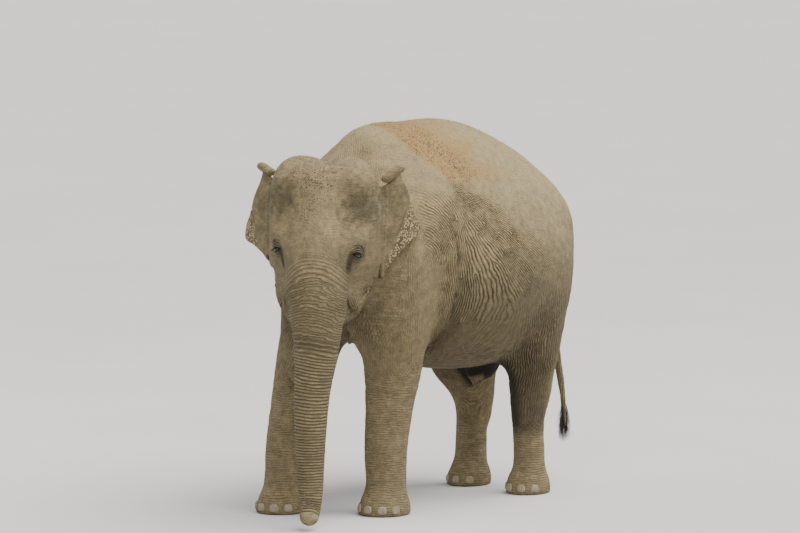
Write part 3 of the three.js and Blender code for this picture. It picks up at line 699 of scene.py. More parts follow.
def forking_lines(place, width):
    """Zero lines of a value that changes by 1 over a width, forking so that they stay as close."""
    level = 2 * np.log2(width / APART)
    turns = np.pi * place * 2.0 ** (np.floor(level) / 2)
    share = ramp(level - np.floor(level), *FORK)
    more = math.sqrt(2) * turns
    lines = blend(np.sin(turns), np.sin(more), share)
    swing = np.sqrt((1 - share) ** 2 + share**2 + 2 * share * (1 - share) * np.cos(more - turns))
    return lines / np.maximum(swing, 0.12)


def fan_place(p):
    """Distance from where the flank's creases start, and angle below straight back."""
    y = p[:, 1] - FAN[0]
    z = FAN[1] - p[:, 2]
    return np.maximum(np.hypot(y, z), 0.06), np.arctan2(z, y)


def fan_creases(p, sway):
    """A smooth value whose zero lines spread over the flank."""
    far, angle = fan_place(p)
    angle = angle - 0.25 * far * ramp(angle, 0.9, 1.4)
    return forking_lines(angle + sway * ramp(far, 0.08, 0.30) / far, np.maximum(far, 0.20))


ARCH = (-0.64, 1.55)  # Y and Z that the shoulder's creases arch over
SHOULDER_APART = 0.0135
NECK_APART = 0.015
THIGH_APART = 0.020
LEVEL_APART = 0.0145
NECK_SLOPE = 92  # degrees below straight back
THIGH_SLOPE = 97
# Y, and the height there below which the creases run level
LEVEL_BELOW = ([-0.95, -0.60, -0.45, -0.35, 0.10, 0.30], [0.85, 0.95, 1.15, 1.00, 0.96, 0.46])


def shoulder_creases(p, sway):
    """Zero lines that arch over the shoulder and run straight down in the groove behind it."""
    behind = np.maximum(p[:, 1] - ARCH[0], 0)
    above = 0.66 * np.maximum(p[:, 2] - ARCH[1], 0)
    return np.sin(np.pi * (np.hypot(behind, above) + sway) / SHOULDER_APART)


def upright_creases(p, sway, slope, apart):
    """Zero lines round the body's side, at a slope in degrees below straight back."""
    a = math.radians(slope)
    round_side = p[:, 1] + np.abs(p[:, 0])
    return np.sin(np.pi * (round_side * math.sin(a) + p[:, 2] * math.cos(a) + sway) / apart)


def level_creases(p):
    """Zero lines that run level round the legs and under the belly."""
    wave = np.sin(np.pi * (p[:, 2] + 0.010 * noise(p / 0.09, 60)) / LEVEL_APART)
    return wave + 0.7 * noise(p / [0.05, 0.05, 0.018], 61)


def body_creases(p):
    """A smooth value whose zero lines are the creases of the body and legs."""
    y = p[:, 1]
    z = p[:, 2]
    sway = 0.013 * noise(p / 0.25, 51) + 0.0055 * noise(p / 0.08, 52) + 0.0026 * noise(p / 0.03, 53)
    lines = shoulder_creases(p, sway)
    lines = blend(lines, upright_creases(p, sway, NECK_SLOPE, NECK_APART), ramp(-y, 0.58, 0.66))
    lines = blend(lines, fan_creases(p, sway), ramp(y, -0.39, -0.35))
    thigh = upright_creases(p, 2.4 * sway, THIGH_SLOPE, THIGH_APART)
    lines = blend(lines, thigh, ramp(y, 0.22, 0.34) * fall(z, 1.42, 1.55))
    low_edge = np.interp(y, *LEVEL_BELOW)
    lines = blend(lines, level_creases(p), fall(z, low_edge - 0.12, low_edge + 0.08))
    return lines + 0.22 * noise(p / 0.03, 54)


def body_creasing(p):
    """How strongly the body is creased, 0 to 1."""
    y = p[:, 1]
    z = p[:, 2]
    far, angle = fan_place(p)
    slope = np.degrees(angle)
    spread = ramp(slope, 22, 45) + 0.8 * hill(slope, 36, 16) * fall(far, 0.45, 0.80)
    neck = 0.34 * ramp(-y, 0.62, 0.72) * ramp(z, 1.0, 1.2)
    regions = [
        0.82 * spread * fall(far, 0.80, 1.20) * ramp(y, -0.47, -0.40),  # flank
        1.15 * hill(y, -0.39, 0.18) * ramp(z, 0.9, 1.1) * fall(z, 1.90, 2.08),  # behind the shoulder
        1.1 * hill(y, -0.50, 0.17) * hill(z, 1.72, 0.38),  # shoulder
        0.95 * hill(y, 0.42, 0.34) * hill(z, 0.90, 0.62) * ramp(np.abs(p[:, 0]), 0.16, 0.30),  # thigh
        neck + 0.6 * hill(y, -0.90, 0.17) * hill(z, 1.36, 0.34),
        1.2 * hill(y, -0.92, 0.20) * hill(z, 1.25, 0.38),  # chest
        0.28 * fall(z, 1.0, 1.25),  # legs
        0.45 * hill(z, 0.92, 0.12) * hill(y, 0.05, 0.45),  # belly
    ]
    total = 0.08 + np.maximum.reduce(regions)
    return np.clip(total * (1 - ramp(y, -0.50, -0.40) * fall(far, 0.14, 0.26)), 0, 1)


# metres down the trunk, and how many rings have been passed there
RING_PLACES = [0.0, 0.16, 0.26, 0.36, 0.62, 0.70, 1.20, 1.70, 2.0]
RINGS_PASSED = [0.0, 10.5, 14.6, 16.9, 21.6, 24.2, 48.0, 76.0, 94.0]


def ring_creases(q):
    """Zero lines across the trunk, how strong they are, and the pale ridges between them, pale from dusting
    and painted highlight.
    """
    s = TRUNK.along(q)
    across = q[:, 0] / 0.17
    s = s - 0.055 * across**2 * fall(s, 0.5, 0.9)
    turns = np.interp(s, RING_PLACES, RINGS_PASSED)
    turns += 0.24 * noise(q / [0.12, 0.12, 0.05], 21) + 0.12 * noise(q / 0.03, 22)
    wide = ramp(s, 0.24, 0.32) * fall(s, 0.50, 0.76)
    lines = blend(np.cos(np.pi * turns), np.cos(3 * np.pi * turns), wide)
    down = 0.30 + 0.25 * ramp(s, 0.1, 0.4) + 0.22 * ramp(s, 0.65, 0.85)
    strength = ramp(-q[:, 2], -0.10, 0.04) * down
    whole = ramp(noise(q / [0.07, 0.07, 0.014], 23), -0.55, 0.25)
    ridge_dust_and_highlight = 1.7 * strength * whole * (1 - 0.6 * ramp(np.abs(across), 0.5, 0.95))
    ridge_dust_and_highlight *= 1 - wide * fall(np.cos(2 * np.pi * turns), 0.2, 0.7)
    return lines, strength, ridge_dust_and_highlight


# ---------------------------------------------------------------- folds and hollows
def off_line(q, a, b):
    """Distance from a straight line between two points."""
    a = np.array(a)
    ab = np.array(b) - a
    t = np.clip((q - a) @ ab / (ab @ ab), 0, 1)
    return np.linalg.norm(q - a - t[:, None] * ab, axis=1)


BLADE_HIGH = 0.014
GROOVE_DEEP = 0.008
# height, and Y of the shoulder blade's back edge there
BLADE_BACK = (
    [1.0, 1.14, 1.58, 1.96, 2.06, 2.25, 2.4],
    [-0.42, -0.40, -0.36, -0.24, -0.21, -0.36, -0.52],
)


def shoulder_blade(p):
    """The raised blade, whose back edge drops into the groove behind the shoulder."""
    behind = p[:, 1] - np.interp(p[:, 2], *BLADE_BACK)
    step = BLADE_HIGH * fall(behind, -0.02, 0.05) * fall(-behind, 0.05, 0.35)
    groove = -GROOVE_DEEP * hill(behind, 0.035, 0.06)
    upper = ramp(p[:, 2], 1.0, 1.3) * fall(p[:, 2], 2.3, 2.42)
    return (step + groove) * upper * ramp(np.abs(p[:, 0]), 0.05, 0.14)


def heavy_folds(p):
    """Broad soft folds of loose skin over the flank, thigh and chest."""
    loose = 0.0035 * noise(p / 0.16, 31) + 0.0025 * noise(p / 0.075, 32)
    return loose * (0.5 + 0.5 * body_creasing(p))


EYE_OUT = np.array([0.80, -0.60, 0.0])  # the way the left eye faces
EYE_AHEAD = np.array([-0.60, -0.80, 0.0])  # from its middle to its inner corner
UP = np.array([0.0, 0.0, 1.0])
LID_REACH = 0.0340  # half the length of the opening between the lids
LID_OVER = 0.0120  # half heights of the opening, above and below its middle line
LID_UNDER = 0.0095
LID_SLOPE = 0.20  # how the middle line rises toward the inner corner
LID_DROP = 0.0010  # how far it lies under the eyeball's middle
UPPER_FOLDS = 0.0140  # from one fold of the upper lid to the next
LOWER_FOLDS = 0.0170
LID_HIGH = 0.0026  # how far the lids' folds stand out
BROW_HIGH = 0.0050
BROW_DEEP = 0.0080


def mirrored(q):
    """Head-frame points with the right side folded on to the left."""
    return np.column_stack([np.abs(q[:, 0]), q[:, 1], q[:, 2]])


def by_eye(q):
    """How far each point is toward the inner corner of its eye, and over its middle line."""
    r = mirrored(q) - EYE_AT
    along = r @ EYE_AHEAD
    return along, r[:, 2] - LID_SLOPE * along


def lid_gap(q):
    """Distance outside the almond between the lids, less than 0 in it, and height over its middle."""
    along, high = by_eye(q)
    high = high + LID_DROP
    half = np.where(high > 0, LID_OVER, LID_UNDER) * (1 - (along / LID_REACH) ** 2)
    return np.maximum(np.abs(high) - half, 0.6 * (np.abs(along) - LID_REACH)), high


def lid_wave(q):
    """Folds of the lids and round the eye, from -1 in a crease to 1 on a fold."""
    gap, high = lid_gap(q)
    r = mirrored(q) - EYE_AT
    near = fall(np.linalg.norm(r * [1, 1, 0.85], axis=1), 0.045, 0.072)
    upper = np.cos(2 * np.pi * (gap - 0.0125 + 0.0012 * noise(q / 0.012, 33)) / UPPER_FOLDS)
    lower = 0.55 * np.cos(2 * np.pi * (gap - 0.0120) / LOWER_FOLDS)
    return blend(upper, lower, ramp(-high, -0.002, 0.004)) * near * ramp(gap, 0.0005, 0.004)


def hooded_brow(q):
    """The heavy fold that hangs over the upper lid, and the deep crease above it."""
    along, high = by_eye(q)
    high = high + 7.0 * along**2
    fold = BROW_HIGH * hill(high, 0.030, 0.016) - BROW_DEEP * hill(high, 0.054, 0.014)
    return fold * fall(np.abs(along), 0.025, 0.055)


def eye_folds(q, away):
    """How far the folds round the eyes push out, the painted shade in their creases and round the eye's
    opening, and the painted highlight on their crests.
    """
    wave = lid_wave(q)
    near = away < 0.09
    # painted shade round the eye's opening
    rim = fall(lid_gap(q)[0], 0.006, 0.012) * (away < 0.05)
    push = (LID_HIGH * wave + hooded_brow(q)) * near
    # painted shade in the lids' creases
    deep = np.maximum(0.95 * np.clip(-1.3 * wave, 0, 1), rim)
    return push, deep, np.clip(1.4 * wave - 0.3, 0, 1) * near * (1 - rim)


def open_lids(q):
    """Draws the skin between the lids back behind the eyeball's front."""
    flip = np.where(q[:, :1] > 0, [1, 1, 1], [-1, 1, 1])
    r = q * flip - EYE_AT
    far = np.linalg.norm(r, axis=1)
    front = (r @ EYE_OUT > 0) & (far < 0.045)
    inside = fall(lid_gap(q)[0], -0.0012, 0.0012) * front
    depth = np.maximum(far - (EYE_R - 0.004), 0)
    return q - flip * r / far[:, None] * (depth * inside)[:, None]


def tear_line(q):
    """Distance from the groove that runs down from the eye's inner corner."""
    r = mirrored(q)
    return np.minimum(
        off_line(r, [0.220, -0.048, 0.004], [0.206, -0.046, -0.030]),
        off_line(r, [0.206, -0.046, -0.030], [0.200, -0.030, -0.085]),
    )


def beside_lip(q):
    """Distance behind the curve that the fold between the trunk's root and the lip follows."""
    drop = q[:, 2] + 0.30
    return q[:, 1] + 0.7 * drop - 7.0 * np.minimum(drop, 0) ** 2 - 0.027


def lip_fold(q):
    """The deep fold between the trunk's root and the lip, 0 to 1."""
    off = beside_lip(q)
    middle = ramp(off, -0.060, -0.042) * fall(off, -0.010, 0.008)
    return middle * hill(q[:, 2], -0.318, 0.078) * ramp(np.abs(q[:, 0]), 0.12, 0.17)


def mouth_line(q):
    """The cut of the mouth on both sides, and the lip's edge above it, each 0 to 1."""
    x = np.abs(q[:, 0])
    y = q[:, 1]
    mouth = np.interp(y, [-0.08, 0.0, 0.10, 0.20], [-0.43, -0.40, -0.345, -0.275])
    on_side = ramp(x, 0.05, 0.09) * ramp(y, -0.10, -0.04) * fall(y, 0.17, 0.24)
    return hill(q[:, 2], mouth, 0.020) * on_side, hill(q[:, 2], mouth + 0.024, 0.022) * on_side


def cheek_lines(q):
    """Zero lines that curve down beside the lip and tangle at the mouth's corner, and how strong."""
    curve = beside_lip(q) + 0.005 * noise(q / 0.04, 34)
    beside = fall(curve, 0.03, 0.08) * hill(q[:, 2], -0.31, 0.10)
    corner = 1.3 * hill(q[:, 1], 0.19, 0.13) * hill(q[:, 2], -0.235, 0.050)
    lines = blend(np.cos(np.pi * curve / CHEEK_APART), 1.6 * noise(q / 0.018, 35), corner)
    return lines, np.maximum(beside, corner) * ramp(np.abs(q[:, 0]), 0.12, 0.17)


def ear_gap(q):
    """The gap under the ear's lower root, 0 to 1: pressed in, and painted dark as shadow."""
    return fall(off_line(mirrored(q), [0.351, 0.233, -0.075], [0.349, 0.236, -0.165]), 0.003, 0.018)


# how far each fold of the face stands out, or is pressed in
LIP_HIGH = 0.006
MOUTH_DEEP = 0.012
LIP_FOLD_DEEP = 0.014
CHEEK_DEEP = 0.007
TEAR_DEEP = 0.010
DOMES_DEEP = 0.022
EAR_GAP_DEEP = 0.010
CHEEK_APART = 0.017


def face_folds(q):
    """The mouth's line, the fold between lip and trunk, and the creases below the eye."""
    cut, lip = mouth_line(q)
    tear = fall(tear_line(q), 0.004, 0.022)
    lines, strength = cheek_lines(q)
    cheek = CHEEK_DEEP * (np.abs(lines) - 0.5) * np.minimum(strength, 1)
    between_domes = hill(q[:, 0], -0.005, 0.09) * ramp(q[:, 2], 0.42, 0.54)
    folds = LIP_HIGH * lip - MOUTH_DEEP * cut - LIP_FOLD_DEEP * lip_fold(q) + cheek - TEAR_DEEP * tear
    return folds - DOMES_DEEP * between_domes - EAR_GAP_DEEP * ear_gap(q)


def ear_folds(u, v):
    """Soft ribs that spread out from the ear's root, and ripples along its lower edge."""
    spread_angle = np.arctan2(v - 0.10, u + 0.10)
    ribs = 0.0022 * noise(np.column_stack([spread_angle / 0.16, u / 0.30, 0 * u]), 41)
    ripple = 0.0035 * noise(np.column_stack([u / 0.05, v / 0.09, 0 * u]), 42)
    return ribs + ripple * ramp(u, 0.03, 0.15) * 0.5


# height on the ear, and how far out its speckled margin starts there, for each side
MARGINS = {
    1: ([-0.06, 0.14, 0.233, 0.319, 0.36], [0.009, 0.089, 0.116, 0.146, 0.20]),
    -1: ([-0.05, 0.05, 0.15, 0.25], [0.05, 0.08, 0.12, 0.19]),
}


def past_margin(here):
    """How far out past the start of its ear's speckled margin each point is, in metres."""
    left, right = (np.interp(here.v, *MARGINS[side]) for side in (1, -1))
    return here.u - np.where(here.q[:, 0] > 0, left, right)


def margin_crease(here):
    """The crease where the ear's speckled margin starts, 0 to 1."""
    start = hill(past_margin(here), 0.0, 0.012)
    return here.ear * start * hill(here.v, 0.20, 0.17) * ramp(here.u, 0.02, 0.06)


# ---------------------------------------------------------------- building the skin
def new_mesh(name, points, faces):
    mesh = bpy.data.meshes.new(name)
    mesh.vertices.add(len(points))
    mesh.vertices.foreach_set("co", np.asarray(points, np.float32).ravel())
    mesh.loops.add(faces.size)
    mesh.loops.foreach_set("vertex_index", faces.ravel().astype(np.int32))
    mesh.polygons.add(len(faces))
    mesh.polygons.foreach_set("loop_start", np.arange(0, faces.size, faces.shape[1], dtype=np.int32))
    mesh.update(calc_edges=True)
    mesh.validate()
    return mesh


def new_object(name, data):
    ob = bpy.data.objects.new(name, data)
    bpy.context.scene.collection.objects.link(ob)
    return ob


def piece(name, mesh, material, replaced=(), place=None):
    """Shows a mesh as a piece of the model: in the body's frame, or at a place of its own."""
    if place is None:
        mesh.transform(Matrix.Translation(PLACE))
    ob = new_object(name, mesh)
    if place is not None:
        ob.matrix_world = place
    mesh.materials.append(material)
    mesh.polygons.foreach_set("use_smooth", np.ones(len(mesh.polygons), bool))
    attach(ob, "root")
    if replaced:
        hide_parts(*replaced)
    return ob


def box_middle(node):
    lo, hi = (Vector(corner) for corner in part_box(node))
    return (lo + hi) / 2


# the body frame's place in the model, from where the left eye is
PLACE = box_middle("eye_left") - Vector(from_head(EYE_AT[None])[0])


def refine(mesh, chosen, cuts):
    """Splits the faces whose middles are chosen."""
    bm = bmesh.new()
    bm.from_mesh(mesh)
    bm.faces.ensure_lookup_table()
    edges = {e for n in np.flatnonzero(chosen) for e in bm.faces[n].edges}
    bmesh.ops.subdivide_edges(bm, edges=sorted(edges, key=lambda e: e.index), cuts=cuts, use_grid_fill=True)
    bm.to_mesh(mesh)
    bm.free()


def rows_of(items, name):
    """A vector of each item of a mesh, as rows."""
    rows = np.empty(3 * len(items), np.float32)
    items.foreach_get(name, rows)
    return rows.reshape(-1, 3).astype(float)


def points_of(mesh):
    return rows_of(mesh.vertices, "co")


def normals_of(mesh):
    return rows_of(mesh.vertex_normals, "vector")


def set_points(mesh, p):
    mesh.vertices.foreach_set("co", p.astype(np.float32).ravel())
    mesh.update()


def eye_distance(p):
    """Distance from the middle of the nearer eyeball."""
    return np.linalg.norm(mirrored(to_head(p)) - EYE_AT, axis=1)


class Places:
    """How far each point of the skin is part of the trunk, an ear, the head and the body, 0 to 1."""

    def __init__(self, p):
        q = to_head(p)
        trunk_near = np.full(len(p), FAR)
        ahead = (q[:, 1] < 0.35) & (np.abs(q[:, 0]) < 0.45) & (q[:, 2] < 0.35)
        trunk_near[ahead] = TRUNK.at(q[ahead])
        self.p = p
        self.q = q
        self.trunk = fall(trunk_near, 0.005, 0.05) * ramp(-q[:, 2], -0.10, 0.02)
        self.ear = np.zeros(len(p))
        self.on_ear = np.zeros((len(p), 3))
        for side in EARS:
            self.find_ear(side)
        self.u, self.v = self.on_ear[:, 0], self.on_ear[:, 1]
        in_head = fall(q[:, 1], 0.30, 0.48) * (np.abs(q[:, 0]) < 0.5) * (q[:, 2] > -0.62)
        self.head = np.maximum(in_head, self.trunk) * (1 - self.ear)
        self.body = (1 - self.head) * (1 - self.ear)

    def find_ear(self, side):
        """Finds the points of one ear, and where on it they are."""
        u, v, w = ear_place(self.q, side)
        by = (side * self.q[:, 0] > 0.2) & (np.abs(w) < 0.045) & (v > -0.25) & (v < 0.55)
        part = by * ramp(u, -0.005, 0.03) * fall(np.abs(w), 0.032, 0.045)
        part[by] *= ear_rim(u[by], v[by], side) < 0.010
        chosen = part > self.ear
        self.ear[chosen] = part[chosen]
        self.on_ear[chosen] = np.column_stack([u, v, w])[chosen]


RIDGE_HIGH = 0.0022  # how far the skin stands out between creases
CREASE_DEEP = 0.0020
MARGIN_DEEP = 0.006
FINE_REACH = 0.065  # round each eye, where the skin's mesh is finer
FINE_CUTS = 3


def all_creases(here):
    """A value whose zero lines are creases, how strong they are, and the pale ridges between, pale from
    dusting and painted highlight.
    """
    p = here.p
    q = here.q
    rings, ring_strength, ring_ridge = ring_creases(q)
    face = here.head * (1 - here.trunk)
    between_eyes = face * hill(q[:, 2], -0.02, 0.14) * fall(np.abs(q[:, 0]), 0.15, 0.22)
    ringed = np.maximum(here.trunk, between_eyes)
    face = face * (1 - between_eyes)
    cheek, cheek_strength = cheek_lines(q)
    lines = blend(1.8 * noise(q / [0.09, 0.09, 0.018], 62), cheek, ramp(cheek_strength, 0.05, 0.3))
    crease = body_creases(p) * here.body + rings * ringed + lines * face
    strength = body_creasing(p) * here.body
    strength *= 0.85 + 0.55 * noise(p / 0.07, 63)
    strength += ring_strength * ringed + (0.16 + 0.84 * cheek_strength) * face
    strength = np.clip(strength, 0, 1)
    ridge_dust_and_highlight = 0.70 * strength * here.body + ring_ridge * ringed + 0.9 * cheek_strength * face
    return crease, strength, ridge_dust_and_highlight


def push_of(here, crease, strength):
    """How far folds and creases push the skin outward, in metres."""
    p = here.p
    line = np.exp(-((crease / 0.20) ** 2))
    push = RIDGE_HIGH * np.minimum(np.abs(crease), 1) - CREASE_DEEP * line
    push = push * strength * (1 + 0.6 * here.body)
    push += (heavy_folds(p) + shoulder_blade(p)) * here.body
    push += face_folds(here.q) * here.head
    push += 0.0012 * noise(p / 0.045, 64)
    push = push * (1 - 0.85 * here.ear) + ear_folds(here.u, here.v) * here.ear
    return push - MARGIN_DEEP * margin_crease(here)


def shape_skin(mesh):
    """Presses the folds and creases into the smooth skin, and marks it for its colours."""
    p = points_of(mesh)
    here = Places(p)
    crease, strength, ridge_dust_and_highlight = all_creases(here)
    away = eye_distance(p)
    calm = ramp(away, 0.03, 0.08)
    eye_push, deep, lids = eye_folds(here.q, away)
    push = push_of(here, crease, strength) * calm + eye_push
    push *= ramp(p[:, 2], 0.004, 0.03)
    moved = p + normals_of(mesh) * push[:, None]
    near = eye_distance(moved) < 0.05
    moved[near] = from_head(open_lids(to_head(moved[near])))
    set_points(mesh, moved)
    n = normals_of(mesh)
    dark = painted_shade_and_darkness(here, n, deep)
    marks = {
        "crease": crease,
        "creasing": strength * calm,
        "dust_and_highlight": pale_dust_and_highlight(here, n, lids),
        **earth_marks(here),
        "pink": speckling(here),
        "olive": olive_patches(here),
        "dark": dark,
        "ridge_dust_and_highlight": np.clip(ridge_dust_and_highlight * calm * (1 - 0.9 * dark * here.body), 0, 1),
    }
    for name, values in marks.items():
        layer = mesh.attributes.new(name, "FLOAT", "POINT")
        layer.data.foreach_set("value", values.astype(np.float32))


def pale_dust_and_highlight(here, n, lids):
    """How pale the skin is made, 0 to 1: a pale dusting, thickest high up on faces turned up, where it also
    stands for painted light from above, and painted highlight on the crests of the lid folds.
    """
    q = here.q
    # paler on faces turned up and high on the body: dust, and painted light from above
    upward = ramp(n[:, 2], -0.30, 0.85)
    high = ramp(here.p[:, 2], 1.35, 2.05)
    dust_and_highlight = 0.18 + 0.82 * upward * (0.25 + 0.75 * high) + 0.08 * noise(here.p / 0.20, 71)
    dust_and_highlight = dust_and_highlight * (1 - 0.4 * here.trunk) * (1 - 0.45 * here.head)
    brow = here.head * hill(q[:, 2], 0.26, 0.44) * fall(np.abs(q[:, 0]), 0.08, 0.26)
    # the ears, paler along their rolled tops: dust, and painted light from above on the rolls
    ear = here.ear * (0.36 + 0.55 * ramp(here.v, 0.40, 0.45))
    # the crests of the lid folds: painted highlight
    return np.clip(np.maximum.reduce([dust_and_highlight, 0.66 * brow, ear, 0.85 * lids]), 0, 1)


# height, and Y where the red earth on the back starts there
EARTH_FRONT = (
    [1.95, 2.09, 2.152, 2.225, 2.295, 2.358, 2.42],
    [-0.22, -0.358, -0.413, -0.466, -0.502, -0.528, -0.55],
)


def earth_marks(here):
    """Red earth thrown over the back, and crumbs of earth there and on the head, 0 to 1."""
    x, y, z = here.p.T
    q = here.q
    behind = y - np.interp(z, *EARTH_FRONT)
    earth = ramp(behind + 0.02 * noise(here.p / 0.05, 72), -0.02, 0.03)
    earth *= fall(behind + 0.08 * noise(here.p / 0.12, 73), 0.14, 0.66)
    earth *= ramp(z, 1.98, 2.14) * here.body * np.where(x > 0, 1, 0.7)
    thick = earth * fall(np.abs(behind - 0.16), 0.05, 0.22) * ramp(z, 2.02, 2.12)
    crown = 0.75 * here.head * fall(np.hypot((q[:, 0] + 0.04) / 1.4, q[:, 2] - 0.50), 0.03, 0.16)
    middle = 0.45 * here.head * fall(np.hypot(q[:, 0] + 0.06, (q[:, 2] - 0.28) / 2.2), 0.02, 0.09)
    return {"earth": earth, "crumbs": np.maximum.reduce([thick, crown, middle])}


def speckling(here):
    """The speckled margins of the ears, 0 to 1."""
    top = np.where(here.q[:, 0] > 0, MARGINS[1][0][-1], MARGINS[-1][0][-1])
    past = past_margin(here) + 0.008 * noise(here.p / 0.03, 75)
    return here.ear * ramp(past, 0.0, 0.03) * fall(here.v, top - 0.08, top - 0.03)


def temples(here):
    """Painted shade in the hollows of the temples, 0 to 1."""
    out = np.abs(here.q[:, 0]) - 0.228
    up = (here.q[:, 2] - 0.300) / 1.25
    away = np.hypot(np.where(out > 0, 0.45, 0.95) * out, up)
    away += 0.060 * noise(here.q / [0.045, 0.045, 0.035], 74)
    return fall(away, 0.01, 0.130) * here.head


# painted shade round the eyes, in their sockets
def sockets(here):
    return fall(eye_distance(here.p), 0.025, 0.085)


def olive_patches(here):
    """Where the skin is olive and darker, 0 to 1: painted shade in the temples' hollows and round the eye
    sockets, and over the ears.
    """
    return np.maximum.reduce([0.74 * temples(here), 0.6 * sockets(here), 0.55 * here.ear])


def dark_head(here):
    """The dark places of the head and ears, each 0 to 1: painted shade in the temples' hollows, the eye
    sockets, the fold beside the lip, the mouth's cut, the gap under the ear, the ears' creases and under
    their rolled tops, with the own dark of the tear streak and the line beside it.
    """
    q = here.q
    beside = off_line(mirrored(q), [0.202, -0.02, -0.09], [0.205, 0.0, -0.25])
    under_roll = np.linalg.norm(here.on_ear - [0.014, 0.434, 0.040], axis=1)
    return [
        # painted shade in the temples' hollows
        0.10 * temples(here),
        # painted shade in the eye sockets
        0.50 * sockets(here),
        0.85 * here.head * fall(tear_line(q), 0.013, 0.050),
        0.35 * here.head * fall(beside, 0.0, 0.016),
        # painted shade in the fold beside the lip
        0.97 * lip_fold(q) * here.head,
        # painted shade in the mouth's cut
        0.75 * mouth_line(q)[0] * here.head,
        # painted shadow in the gap under the ear
        0.95 * ear_gap(q),
        # painted shade in the crease at the ear's speckled margin
        0.55 * margin_crease(here),
        0.6 * hill(here.u, -0.004, 0.012) * hill(here.v, 0.16, 0.32),  # painted shade in the crease along the ear's root
        # painted shadow under the ear's rolled top
        fall(under_roll, 0.010, 0.024),
    ]


def dark_body(here, n):
    """The dark places of the body, each 0 to 1: painted shade on what faces the ground, the lower flank,
    the thigh and the neck, and the legs and tail darker low down.
    """
    x, y, z = here.p.T
    thigh = hill(y, 0.34, 0.26) * fall(z, 1.15, 1.50) * ramp(z, 0.35, 0.75)
    return [
        0.50 * fall(n[:, 2], -0.9, -0.2),  # painted shade on what faces the ground
        0.10 * fall(z, 0.3, 1.1),  # legs
        0.66 * fall(z, 1.15, 1.95) * ramp(y, -0.45, -0.35) * ramp(z, 0.7, 0.85),  # painted shade on the lower flank
        # painted shade on the thigh, deepest where it faces forward
        (0.30 + 0.35 * ramp(-n[:, 1], 0.1, 0.7)) * thigh,
        0.32 * ramp(y, 1.00, 1.08) * fall(np.abs(x), 0.05, 0.09) * fall(z, 1.25, 1.55),  # tail
        0.36 * hill(y, -0.92, 0.22) * fall(z, 1.45, 1.75) * here.body,  # painted shade on the neck under the head
    ]


# Y, and the height there of the lower edge of the painted shadow round the hood
HOOD_EDGE = ([0.30, 0.50, 0.64], [0.69, 0.58, 0.70])


def dark_between_legs(p):
    """Painted shade on the inner and front sides of the hind legs, and painted shadow in the hollow round
    the hood between them, each 0 to 1.
    """
    x, y, z = p.T
    wide = np.abs(x)
    inner = 0.75 * ramp(x, -0.36, -0.25) * fall(x, -0.25, 0.22) * ramp(y, 0.15, 0.30)
    inner *= ramp(z, 0.62, 0.82) * fall(z, 0.98, 1.06)
    inner *= ramp(wide + 0.6 * np.abs(y - 0.40), 0.05, 0.12)
    front = ramp(x, 0.0, 0.15) * fall(np.abs(y - 0.47), 0.12, 0.26) * ramp(z, 0.30, 0.45)
    front *= fall(z, 1.00, 1.35) * (0.78 * fall(x, 0.44, 0.66) + 0.14 * fall(x, 0.26, 0.35))
    flap = fall(off_line(p, [0.0, 0.42, 0.80], [0.0, 0.39, 0.69]), 0.035, 0.060)
    hood = fall(np.abs(y - 0.44), 0.12, 0.20) * fall(z, 0.86, 0.95) * fall(wide, 0.14, 0.24)
    hood *= ramp(z - np.interp(y, *HOOD_EDGE), 0.0, 0.06) * (1 - 0.6 * flap * fall(z, 0.72, 0.79))
    return [inner, front, 0.98 * hood]


def painted_shade_and_darkness(here, n, deep):
    """How dark the skin is made, 0 to 1: mostly painted shade, with the tear streaks' own dark and the tail
    and legs darker low down.
    """
    places = [*dark_head(here), *dark_body(here, n), *dark_between_legs(here.p), deep]
    return np.clip(np.maximum.reduce(places), 0, 1)


def make_skin(material):
    points, quads = surface_net(sample_band(CELL), GRID_LO, CELL)
    mesh = new_mesh("skin", even_out(points, quads), quads)
    refine(mesh, eye_distance(rows_of(mesh.polygons, "center")) < FINE_REACH, FINE_CUTS)
    points = points_of(mesh)
    close = eye_distance(points) < FINE_REACH + 0.010
    points[close] = settle(points[close])
    set_points(mesh, points)
    shape_skin(mesh)
    separate = ("eye", "forenail", "hindnail")
    flesh_nodes = [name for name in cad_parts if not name.startswith(separate)]
    return piece("skin", mesh, material, flesh_nodes)


